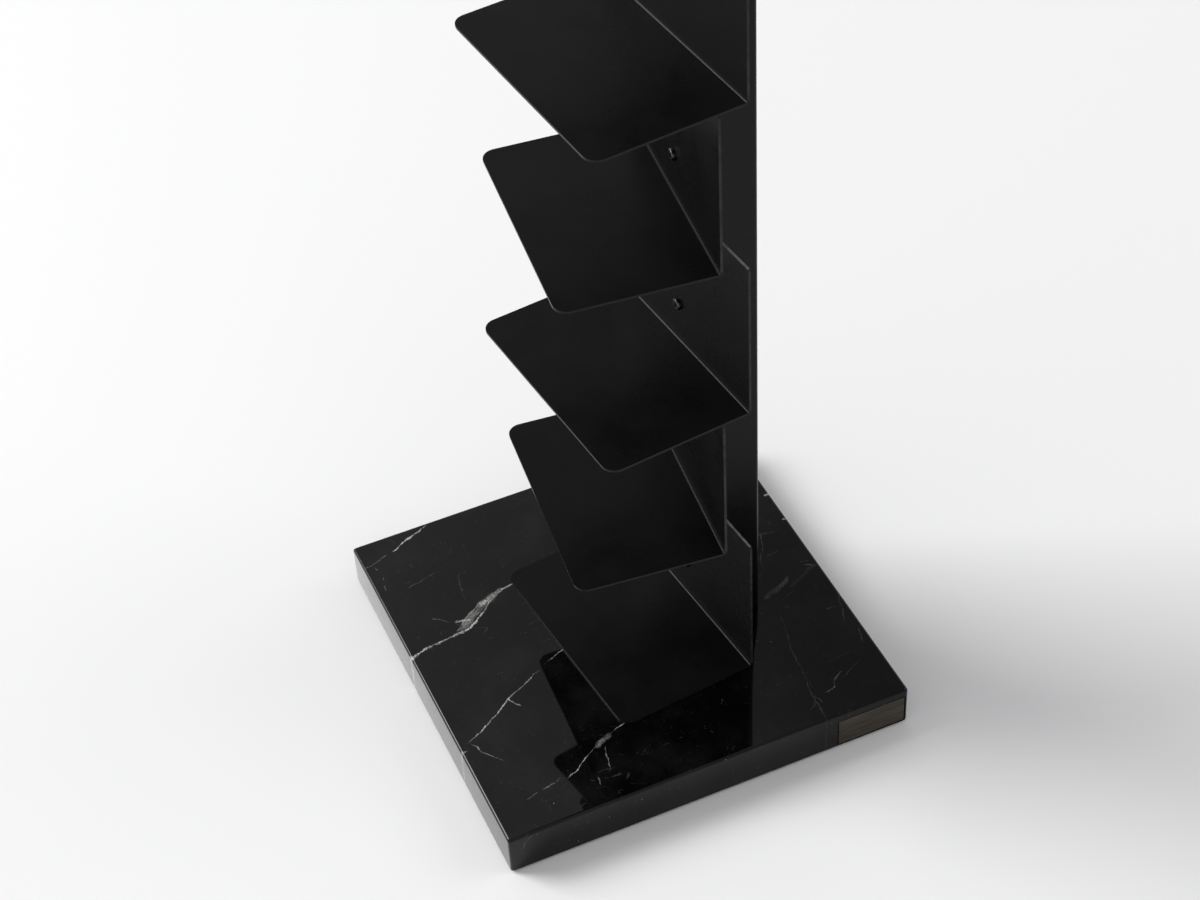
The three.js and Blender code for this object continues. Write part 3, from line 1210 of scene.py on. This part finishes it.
@dataclass
class Fastener:
    """A screw or bolt with a crowned head and a six-sided socket.

    Args:
        radius: Of the shank.
        length: Of the shank.
        head_radius: Of the head.
        head_height: Of the head.
        socket_radius: Of the socket, out to its corners.
        socket_depth: Of the socket.
        crown_share: Share of the head's height that its crown takes.
        crown_step: Degrees from one ring of the crown to the next.
        rim_share: Share of the head's height that its lower bevel takes.
        flat_share: Radius of the flat round the socket, as a share of the socket's.
        sides: How many sides stand for a circle, a multiple of six.
    """

    radius: float
    length: float
    head_radius: float
    head_height: float
    socket_radius: float
    socket_depth: float
    crown_share: float = 0.42
    crown_step: int = 15
    rim_share: float = 0.06
    flat_share: float = 1.25
    sides: int = 36

    def mesh(self, place: Callable[[Vector], Vector]) -> bmesh.types.BMesh:
        """Builds the fastener along Z, with its head below the origin.

        Args:
            place: Moves each point to where the fastener stands.

        Returns:
            The mesh.
        """
        crown = self.head_height * self.crown_share
        rim = self.head_height * self.rim_share
        point = self.radius / 2
        top = -self.head_height
        profile = [(self.socket_radius * self.flat_share, top)]
        for turn in range(0, 91, self.crown_step):
            a = math.radians(turn)
            out = self.head_radius - crown * (1 - math.sin(a))
            profile.append((out, top + crown * (1 - math.cos(a))))
        profile += [
            (self.head_radius, -rim),
            (self.head_radius - rim, 0.0),
            (self.radius, 0.0),
            (self.radius, self.length - point),
            (self.radius - point, self.length),
        ]
        socket = [level(self._hexagon(), z) for z in (top + self.socket_depth, top)]
        rings = socket + [level(circle(r, self.sides), z) for r, z in profile]
        return loft([[place(p) for p in ring] for ring in rings])

    def _hexagon(self) -> list[Vector]:
        """The socket's flat outline, with as many points as a circle has."""
        sixth = math.tau / 6
        flat = self.socket_radius * math.cos(sixth / 2)
        outline = []
        for k in range(self.sides):
            a = math.tau * k / self.sides
            reach = flat / math.cos((a % sixth) - sixth / 2)
            outline.append(Vector((reach * math.cos(a), reach * math.sin(a))))
        return outline


@dataclass
class ShelfStack:
    """The shelves, with the wedges and screws behind and through their plates.

    Args:
        count: How many shelves there are.
        pitch: From one shelf to the next.
        turn: How far each is turned, to one side and the other in turn.
        width: Of a shelf.
        tongue: From the plate's middle to the tongue's front.
        height: Of a plate.
        sheet: Thickness of the sheet.
        bend: Inner radius between tongue and plate.
        tongue_corner: Radius of the tongue's corners.
        plate_corner: Radius of the plate's upper corners.
        plate_line: Where the plates' middles lie along Y.
        first_height: Underside of the lowest tongue.
        seat_gap: Between pieces that lie on one another.
        edge: Reach of the soft edges.
        edge_steps: How many facets a soft edge has.
        rim_wear_and_highlight: How rubbed the plates' sides are, and how much painted highlight they
            get, against 1 for their tops.
        tongue_wear_and_highlight: How rubbed the tongues' rims are, and how much painted highlight they
            get.
        ease: Length beside an arc that keeps the flats from being shaded round.
        bend_steps: How many chords make the bend.
        corner_steps: How many chords make a round corner.
        screw_spacing: Between a shelf's two screws.
        screw_radius: Of a screw's shank.
        screw_head: Radius and height of a screw's head.
        screw_socket: Radius and depth of a screw's socket.
        screw_tail: How far a screw reaches past the column's wall.
        wedge_end_margin: From a screw to the wedge's end.
        wedge_inset: How far a wedge stays inside the column's flat front.
        column_corner: Radius of the column's corners.
        column_wall: Thickness of the column's wall.
    """

    count: int = 11
    pitch: float = 141 * MM
    turn: float = math.radians(6.3)
    width: float = 196 * MM
    tongue: float = 121 * MM
    height: float = 139 * MM
    sheet: float = 2 * MM
    bend: float = 2 * MM
    tongue_corner: float = 11 * MM
    plate_corner: float = 3 * MM
    plate_line: float = 61.95 * MM
    first_height: float = 40.3 * MM
    seat_gap: float = 0.3 * MM
    edge: float = 0.45 * MM
    edge_steps: int = 2
    # Levels of the pale rim colour: rubbed wear and painted highlight, full along the plates' tops.
    rim_wear_and_highlight: float = 0.08
    tongue_wear_and_highlight: float = 0.015
    ease: float = 0.5 * MM
    bend_steps: int = 14
    corner_steps: int = 9
    screw_spacing: float = 64 * MM
    screw_radius: float = 2.5 * MM
    screw_head: Point = (4.75 * MM, 2.6 * MM)
    screw_socket: Point = (1.7 * MM, 1.5 * MM)
    screw_tail: float = 5 * MM
    wedge_end_margin: float = 16 * MM
    wedge_inset: float = 4 * MM
    column_corner: float = 3 * MM
    column_wall: float = 2 * MM

    def rows(self) -> list[tuple[float, float, float]]:
        """The sheet's middle surface as rows across it, from the tongue's front up.

        Returns:
            For each row half its width, and its place along Y and Z.
        """
        radius = self.bend + self.sheet / 2
        middle = self.sheet / 2
        half = self.width / 2
        quarter = math.pi / 2

        def arc_share(k: int) -> float:
            return quarter * k / self.corner_steps

        rows = []
        for k in range(self.corner_steps + 1):
            drop = self.tongue_corner * (1 - math.sin(arc_share(k)))
            along = self.tongue_corner * (1 - math.cos(arc_share(k)))
            rows.append((half - drop, along - self.tongue, middle))
        rows.append((half, self.tongue_corner + self.ease - self.tongue, middle))
        rows.append((half, -radius - self.ease, middle))
        for k in range(self.bend_steps + 1):
            a = quarter * k / self.bend_steps
            rows.append((half, -radius + radius * math.sin(a), middle + radius * (1 - math.cos(a))))
        rows.append((half, 0.0, middle + radius + self.ease))
        rows.append((half, 0.0, self.height - self.plate_corner - self.ease))
        for k in range(self.corner_steps + 1):
            drop = self.plate_corner * (1 - math.cos(arc_share(k)))
            up = self.height - self.plate_corner * (1 - math.sin(arc_share(k)))
            rows.append((half - drop, 0.0, up))
        return rows

    def pattern(self) -> bpy.types.Object:
        """Makes one shelf about its own origin.

        Returns:
            The bent sheet, with its thickness and its soft edges.
        """
        mesh = bmesh.new()
        inner = self.width / 2 - self.tongue_corner - self.ease
        lines = []
        for half, y, z in self.rows():
            across = (-half, -min(inner, half), 0.0, min(inner, half), half)
            lines.append([mesh.verts.new((x, y, z)) for x in across])
        for lower, upper in zip(lines, lines[1:]):
            for k in range(len(lower) - 1):
                mesh.faces.new((lower[k], lower[k + 1], upper[k + 1], upper[k]))
        tiny = self.edge / 100
        bmesh.ops.remove_doubles(mesh, verts=mesh.verts, dist=tiny)
        bmesh.ops.dissolve_degenerate(mesh, edges=mesh.edges, dist=tiny)
        bmesh.ops.recalc_face_normals(mesh, faces=mesh.faces)
        thing = piece("shelf_pattern", mesh)
        wall = thing.modifiers.new("sheet", "SOLIDIFY")
        wall.thickness = self.sheet
        wall.offset = 0.0
        wall.use_even_offset = True
        wall.material_offset_rim = 1
        soften(thing, self.edge, self.edge_steps, limit=60.0)
        return settled(thing, "shelf_pattern", self.wear_and_light)

    def wear_and_light(self, face: bpy.types.MeshPolygon) -> float:
        """How rubbed a face of the sheet's rim is, and how much painted highlight it gets: most along
        the top, least round the tongue.
        """
        if face.center.z > self.height - self.edge:
            return 1.0
        return self.rim_wear_and_highlight if face.center.z > self.bend + self.sheet else self.tongue_wear_and_highlight

    def screw_pattern(self, standoff: float) -> bpy.types.Object:
        """Makes one shelf's two screws, about the shelf's own origin.

        Args:
            standoff: From the plate's back to the column's front.

        Returns:
            Both screws in one mesh.
        """
        length = self.sheet + standoff + self.column_wall + self.screw_tail
        screw = Fastener(self.screw_radius, length, *self.screw_head, *self.screw_socket)
        both = bmesh.new()
        for side in (-1, 1):
            up = self.height / 2 + side * self.screw_spacing / 2
            seat = -self.sheet / 2 - self.seat_gap

            def stand(p: Vector, up: float = up, seat: float = seat) -> Vector:
                return Vector((p.x, p.z + seat, up - p.y))

            data = bpy.data.meshes.new("screw")
            mesh = screw.mesh(stand)
            mesh.to_mesh(data)
            mesh.free()
            both.from_mesh(data)
            bpy.data.meshes.remove(data)
        return piece("screw_pattern", both, FASTENER_SHARP)

    def wedge_pattern(self, way: Turn, front: float, width: float) -> bpy.types.Object:
        """Makes a wedge for one way of turning, with the plate's line at Y = 0.

        Args:
            way: Which way its shelf is turned.
            front: Where the column's front lies.
            width: The column's width.

        Returns:
            The wedge.
        """
        half = width / 2 - self.column_corner - self.wedge_inset
        reach = self.sheet / 2 / math.cos(self.turn) + self.seat_gap
        lean = half * math.tan(self.turn) * way.value
        corners = ((-half, reach - lean), (half, reach + lean), (half, front), (-half, front))
        plan = [Vector(corner) for corner in corners]
        lower = (self.height - self.screw_spacing) / 2 - self.wedge_end_margin
        upper = self.height - lower
        thing = piece("wedge_pattern", loft([level(plan, lower), level(plan, upper)]))
        soften(thing, self.edge, self.edge_steps, limit=40.0)
        return settled(thing, "wedge_pattern")

    def build(self) -> None:
        """Builds and dresses the shelves, the wedges and the screws."""
        tree = turned_stack_tree()
        low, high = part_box("column")
        column_front = low.y - self.plate_line
        standoff = column_front - self.sheet / 2 / math.cos(self.turn)
        rule = {
            "First Height": self.first_height,
            "Pitch": self.pitch,
            "Plate Line": self.plate_line,
            "Turn": self.turn,
            "Material": material_of(LACQUER),
        }
        shelf = self.pattern()
        wedges = {way: self.wedge_pattern(way, column_front, high.x - low.x) for way in Turn}
        for place in range(self.count):
            label = f"{place + 1:02d}"
            here = rule | {"Count": 1, "Place": place}
            sheet = grow(shelf, tree, f"shelf_sheet_{label}", here)
            hand_over(sheet, LACQUER, f"shelf_{label}")
            way = Turn.LEFT if place % 2 else Turn.RIGHT
            wedge = grow(wedges[way], tree, f"shelf_wedge_{label}", here | {"Turn": 0.0})
            hand_over(wedge, LACQUER, f"wedge_{label}")
        screws = self.screw_pattern(standoff)
        everywhere = rule | {"Count": self.count, "Place": 0, "Material": material_of(BLACK_STEEL)}
        all_screws = grow(screws, tree, "shelf_screws", everywhere)
        shade(all_screws.data, FASTENER_SHARP)
        numbers = range(1, self.count + 1)
        names = [f"shelf_screw_{i:02d}_{end}" for i in numbers for end in ("lower", "upper")]
        hand_over(all_screws, BLACK_STEEL, *names)
        for pattern in (shelf, screws, *wedges.values()):
            bpy.data.objects.remove(pattern)


@dataclass
class Column:
    """The box section, its cap and the foot plate inside its lower end.

    Args:
        wall: Thickness of the section.
        corner: Radius of its outer corners.
        ease: Length beside an arc that keeps the flats from being shaded round.
        edge: Radius of the cap's upper edge.
        steps: How many chords make a round corner.
        edge_steps: How many chords make the cap's upper edge.
        foot_steps: How many chords make a corner of the foot plate.
    """

    wall: float = 2 * MM
    corner: float = 3 * MM
    ease: float = 0.5 * MM
    edge: float = 0.4 * MM
    steps: int = 10
    edge_steps: int = 6
    foot_steps: int = 4

    def outline(self, shrink: float, box: tuple[Vector, Vector]) -> list[Vector]:
        """The section's outline, drawn in by a wall or an edge.

        Args:
            shrink: How far it is drawn in.
            box: The column's lowest and highest corners.

        Returns:
            The outline about the section's middle.
        """
        low, high = box
        radius = max(self.corner - shrink, self.ease)
        corners = rectangle(high.x - low.x - 2 * shrink, high.y - low.y - 2 * shrink, radius)
        return rounded(corners, self.steps, self.ease)

    def build(self) -> None:
        """Builds and dresses the column, the cap and the foot plate."""
        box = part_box("column")
        low, high = box
        middle = middle_of(low, high)
        outer, inner = self.outline(0.0, box), self.outline(self.wall, box)
        tube = loft(
            [
                level(outer, low.z, middle),
                level(outer, low.z + self.ease, middle),
                level(outer, high.z - self.ease, middle),
                level(outer, high.z, middle),
                level(inner, high.z, middle),
                level(inner, low.z, middle),
            ],
            closed=True,
        )
        hand_over(piece("column_tube", tube), LACQUER, "column")
        self._cap(box, middle)
        self._foot(middle)

    def _inside(self, low: Vector, high: Vector) -> list[Corner]:
        """The corners of a box that fits inside the section."""
        return rectangle(high.x - low.x, high.y - low.y, self.corner - self.wall)

    def _cap(self, box: tuple[Vector, Vector], middle: Vector) -> None:
        """The lid on the column, with a soft upper edge and its plug."""
        low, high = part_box("column_cap")
        seat = box[1].z
        plug = rounded(self._inside(*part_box("foot_plate")), self.steps, self.ease)
        rings = [level(plug, low.z, middle), level(plug, seat, middle)]
        rings.append(level(self.outline(0.0, box), seat, middle))
        for k in range(self.edge_steps + 1):
            a = math.pi / 2 * k / self.edge_steps
            shrink, drop = self.edge * (1 - math.cos(a)), self.edge * (1 - math.sin(a))
            rings.append(level(self.outline(shrink, box), high.z - drop, middle))
        rings.append(level(self.outline(self.edge + self.ease, box), high.z, middle))
        hand_over(piece("column_lid", loft(rings), LID_SHARP), LACQUER, "column_cap")

    def _foot(self, middle: Vector) -> None:
        """The welded plate in the column's lower end."""
        low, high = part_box("foot_plate")
        plan = rounded(self._inside(low, high), self.foot_steps)
        thing = piece("foot_block", loft([level(plan, z, middle) for z in (low.z, high.z)]))
        hand_over(bored(thing, low.z, high.z), ZINC_STEEL, "foot_plate")


@dataclass
class Base:
    """The marble slab, the bare plate in its side, its pads, and what holds the column.

    Args:
        bevel: Of the slab's upper and upright edges.
        slab_edge: Reach of the rounding on the bevels.
        recess_margin: Width of the dark line round the bare plate.
        plate_edge: Reach of the bare plate's soft edges.
        plate_corner: Radius of the bare plate's corners.
        pocket_margin: Between the anchor plate and its pocket.
        anchor_edge: Reach of the anchor plate's soft edges.
        anchor_corner: Radius of the anchor plate's corners.
        anchor_steps: How many chords make such a corner.
        bolt_radius: Of a bolt's shank.
        bolt_head: Radius and height of a bolt's head.
        bolt_socket: Radius and depth of a bolt's socket.
        pad_edge: Bevel round a pad's underside.
        pad_sides: How many sides stand for a pad's circle.
        overrun: How far a cutting tool runs past what it cuts.
    """

    bevel: float = 1.5 * MM
    slab_edge: float = 0.85 * MM
    recess_margin: float = 0.8 * MM
    plate_edge: float = 0.35 * MM
    plate_corner: float = 1 * MM
    pocket_margin: float = 0.5 * MM
    anchor_edge: float = 0.25 * MM
    anchor_corner: float = 4 * MM
    anchor_steps: int = 6
    bolt_radius: float = 3 * MM
    bolt_head: Point = (5 * MM, 3 * MM)
    bolt_socket: Point = (2.2 * MM, 1.6 * MM)
    pad_edge: float = 0.6 * MM
    pad_sides: int = 48
    overrun: float = 5 * MM

    def build(self) -> None:
        """Builds and dresses the slab and everything on and under it."""
        self._slab()
        self._nameplate()
        corners = four_corners_tree()
        self._pads(corners)
        self._bolts(corners)
        self._anchor()

    def _slab(self) -> None:
        """The slab with its bevels, the pocket below and the recess at its right."""
        low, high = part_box("marble_base")
        half = (high.x - low.x) / 2
        plan = [
            Vector(p)
            for sx, sy in ((-1, -1), (1, -1), (1, 1), (-1, 1))
            for p in self._cut_corner(half, sx, sy)
        ]
        small = [p * ((half - self.bevel) / half) for p in plan]
        mesh = loft([level(plan, low.z), level(plan, high.z - self.bevel), level(small, high.z)])
        slab = piece("slab_block", mesh)
        soften(slab, self.slab_edge, steps=4, limit=30.0)
        slab = carved(slab, [self._pocket(low.z), self._recess(half)], "slab")
        slab = bored(slab, low.z + self.overrun, high.z + self.overrun)
        hand_over(slab, MARBLE, "marble_base")

    def _cut_corner(self, half: float, sx: int, sy: int) -> list[Point]:
        """The two points of a bevelled corner, in the order of the outline."""
        pair = [(sx * half, sy * (half - self.bevel)), (sx * (half - self.bevel), sy * half)]
        return pair if sx * sy > 0 else pair[::-1]

    def _pocket(self, floor: float) -> bpy.types.Object:
        """The tool for the pocket under the slab."""
        low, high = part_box("anchor_plate")
        centre = middle_of(low, high)
        margin = 2 * self.pocket_margin
        corners = rectangle(high.x - low.x + margin, high.y - low.y + margin, self.anchor_corner)
        plan = rounded(corners, self.anchor_steps)
        rings = [level(plan, floor - self.overrun, centre), level(plan, high.z, centre)]
        return piece("pocket_tool", loft(rings))

    def _recess(self, half: float) -> bpy.types.Object:
        """The tool for the plate's recess in the slab's side."""
        low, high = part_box("nameplate")
        margin = 2 * self.recess_margin
        radius = self.plate_corner + self.recess_margin
        plan = rounded(rectangle(high.y - low.y + margin, high.z - low.z + margin, radius), steps=4)
        return piece("recess_tool", loft(self._sideways(plan, low, high, (low.x, half + self.overrun))))

    @staticmethod
    def _sideways(
        plan: list[Vector], low: Vector, high: Vector, places: Iterable[float]
    ) -> list[list[Vector]]:
        """Stands an outline upright round a box's middle, once for each place along X."""
        y, z = (low.y + high.y) / 2, (low.z + high.z) / 2
        return [[Vector((x, p.x + y, p.y + z)) for p in plan] for x in places]

    def _nameplate(self) -> None:
        """The bare bronze plate, whose rim wears the finish's dark edge colour, a painted shade in its
        recess.
        """
        low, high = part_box("nameplate")
        plan = rounded(rectangle(high.y - low.y, high.z - low.z, self.plate_corner), steps=5)
        thing = piece("bare_plate_block", loft(self._sideways(plan, low, high, (low.x, high.x))))
        soften(thing, self.plate_edge, steps=3, limit=60.0)
        # Rim faces take the dark edge colour: painted shade in the recess.
        for face in thing.data.polygons:
            face.material_index = 0 if abs(face.normal.x) > 0.5 else 1
        hand_over(settled(thing, "bare_plate"), BRONZE, "nameplate")

    def _pads(self, tree: bpy.types.NodeTree) -> None:
        """The four round pads."""
        low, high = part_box("pad_front_left")
        far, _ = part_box("pad_back_right")
        radius = (high.x - low.x) / 2
        profile = [(radius - self.pad_edge, low.z), (radius, low.z + self.pad_edge), (radius, high.z)]
        pattern = piece("pad_pattern", loft([level(circle(r, self.pad_sides), z) for r, z in profile]))
        values = {"Across": far.x - low.x, "Along": far.y - low.y, "Material": material_of(RUBBER)}
        pads = grow(pattern, tree, "floor_pads", values)
        bpy.data.objects.remove(pattern)
        names = [f"pad_{end}_{side}" for end in ("front", "back") for side in ("left", "right")]
        hand_over(pads, RUBBER, *names)

    def _bolts(self, tree: bpy.types.NodeTree) -> None:
        """The four bolts that hold the column down."""
        boxes = [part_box(name) for name in BOLTS]
        low = Vector([min(b[0][i] for b in boxes) for i in range(3)])
        high = Vector([max(b[1][i] for b in boxes) for i in range(3)])
        head = self.bolt_head[1]
        bolt = Fastener(self.bolt_radius, high.z - low.z - head, *self.bolt_head, *self.bolt_socket)
        pattern = piece("bolt_pattern", bolt.mesh(lambda p: p), FASTENER_SHARP)
        width = boxes[0][1].x - boxes[0][0].x
        centre = (low + high) / 2
        values = {
            "Across": high.x - low.x - width,
            "Along": high.y - low.y - width,
            "Centre": (centre.x, centre.y, low.z + head),
            "Material": material_of(ZINC_STEEL),
        }
        bolts = grow(pattern, tree, "base_bolts", values)
        shade(bolts.data, FASTENER_SHARP)
        bpy.data.objects.remove(pattern)
        hand_over(bolts, ZINC_STEEL, *BOLTS)

    def _anchor(self) -> None:
        """The plate in the slab's pocket."""
        low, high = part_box("anchor_plate")
        middle = middle_of(low, high)
        corners = rectangle(high.x - low.x, high.y - low.y, self.anchor_corner)
        plan = rounded(corners, self.anchor_steps)
        thing = piece("anchor_block", loft([level(plan, z, middle) for z in (low.z, high.z)]))
        soften(thing, self.anchor_edge, steps=2, limit=60.0)
        thing = settled(thing, "anchor_block")
        hand_over(bored(thing, low.z, high.z), ZINC_STEEL, "anchor_plate")


# Studio


@dataclass
class Lamp:
    """A soft area lamp.

    Args:
        name: Its name.
        place: Where it hangs.
        size: Its width.
        power: Its power in watts.
    """

    name: str
    place: tuple[float, float, float]
    size: float
    power: float

    def build(self, target: Vector) -> None:
        """Hangs the lamp, turned to a target."""
        light = bpy.data.lights.new(self.name, "AREA")
        light.energy = self.power
        light.size = self.size
        lamp = bpy.data.objects.new(self.name, light)
        lamp.location = self.place
        lamp.rotation_euler = (target - Vector(self.place)).to_track_quat("-Z", "Y").to_euler()
        bpy.context.scene.collection.objects.link(lamp)


@dataclass
class Studio:
    """Camera, lamps, world and floor.

    The camera's values come from a fit of the slab's outline, the column and the shelves' edges.

    Args:
        camera_place: Where the camera stands.
        camera_aim: What it looks at.
        camera_roll: How far it is rolled.
        lens: Its focal length in millimetres.
        sensor: Its sensor's width in millimetres.
        clip_end: How far it sees.
        floor_colour: The floor's colour.
        floor_side: The floor's side.
        floor_rough: Its roughness.
        floor_gloss: Its specular level.
        horizon: The room's colour at the height of the horizon and below.
        bright_sky: Its colour above the front half.
        dim_sky: Its colour above the back half.
        lamp_target: What the lamps are turned to.
        lamps: The lamps.
    """

    camera_place: tuple[float, float, float] = (1.34193, -0.54005, 1.62994)
    camera_aim: tuple[float, float, float] = (-0.15785, 0.05255, 0.07308)
    camera_roll: float = math.radians(-3.575)
    lens: float = 77.243
    sensor: float = 36.0
    clip_end: float = 50.0
    floor_colour: Colour = (0.9, 0.9, 0.9)
    floor_side: float = 24.0
    floor_rough: float = 0.9
    floor_gloss: float = 0.1
    horizon: Colour = (0.7, 0.7, 0.71)
    bright_sky: Colour = (0.54, 0.54, 0.545)
    dim_sky: Colour = (0.24, 0.24, 0.255)
    lamp_target: tuple[float, float, float] = (0.0, 0.0, 0.4)
    lamps: list[Lamp] = field(
        default_factory=lambda: [
            Lamp("key", (-8.6, -10.3, 11.3), 8.1, 2170.0),
            Lamp("fill", (-1.3, -1.7, 1.1), 0.9, 7.0),
            Lamp("back", (1.5, 4.4, 3.6), 3.0, 45.0),
        ]
    )

    def build_camera(self) -> None:
        """Stands the camera where the photograph was taken from."""
        data = bpy.data.cameras.new("camera")
        data.lens = self.lens
        data.sensor_width = self.sensor
        data.sensor_fit = "HORIZONTAL"
        data.clip_end = self.clip_end
        camera = bpy.data.objects.new("camera", data)
        aim = Vector(self.camera_aim) - Vector(self.camera_place)
        turn = aim.to_track_quat("-Z", "Y") @ Quaternion((0, 0, 1), self.camera_roll)
        camera.rotation_euler = turn.to_euler()
        camera.location = self.camera_place
        bpy.context.scene.collection.objects.link(camera)
        bpy.context.scene.camera = camera

    def build(self) -> None:
        """Lights the room and lays the floor."""
        scene = bpy.context.scene
        scene.view_settings.view_transform = "Standard"
        self._world(scene)
        for lamp in self.lamps:
            lamp.build(Vector(self.lamp_target))
        self._floor()

    def _world(self, scene: bpy.types.Scene) -> None:
        """A pale room, bright above its front half and dim above its back half."""
        world = bpy.data.worlds.new("studio")
        world.use_nodes = True
        scene.world = world
        tree = Tree(world.node_tree)
        ground = next(n for n in tree.nodes.nodes if n.type == "BACKGROUND")
        generated = tree.add("ShaderNodeTexCoord").outputs["Generated"]
        way = tree.add("ShaderNodeSeparateXYZ", Vector=generated).outputs
        back = tree.ramp(way["Y"], low=0.08, high=0.4)
        sky = tree.blend(back, opaque(self.bright_sky), opaque(self.dim_sky))
        above = tree.ramp(way["Z"], low=0.15, high=0.6)
        colour = tree.blend(above, opaque(self.horizon), sky)
        tree.link(colour, ground.inputs["Color"])
        ground.inputs["Strength"].default_value = 1.0

    def _floor(self) -> None:
        """A plain pale floor."""
        half = self.floor_side / 2
        mesh = bmesh.new()
        corners = ((-half, -half), (half, -half), (half, half), (-half, half))
        mesh.faces.new([mesh.verts.new((x, y, 0)) for x, y in corners])
        floor = piece("floor", mesh)
        material = bpy.data.materials.new("pale_floor")
        material.use_nodes = True
        shader = next(n for n in material.node_tree.nodes if n.type == "BSDF_PRINCIPLED")
        shader.inputs["Base Color"].default_value = opaque(self.floor_colour)
        shader.inputs["Roughness"].default_value = self.floor_rough
        shader.inputs["Specular IOR Level"].default_value = self.floor_gloss
        floor.data.materials.append(material)


def main() -> None:
    """Builds the studio and the bookshelf."""
    logging.basicConfig(level=logging.INFO, format="%(name)s %(message)s")
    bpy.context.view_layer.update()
    studio = Studio()
    studio.build_camera()
    Base().build()
    Column().build()
    ShelfStack().build()
    studio.build()
    bpy.context.view_layer.update()


if __name__ == "__main__":
    main()
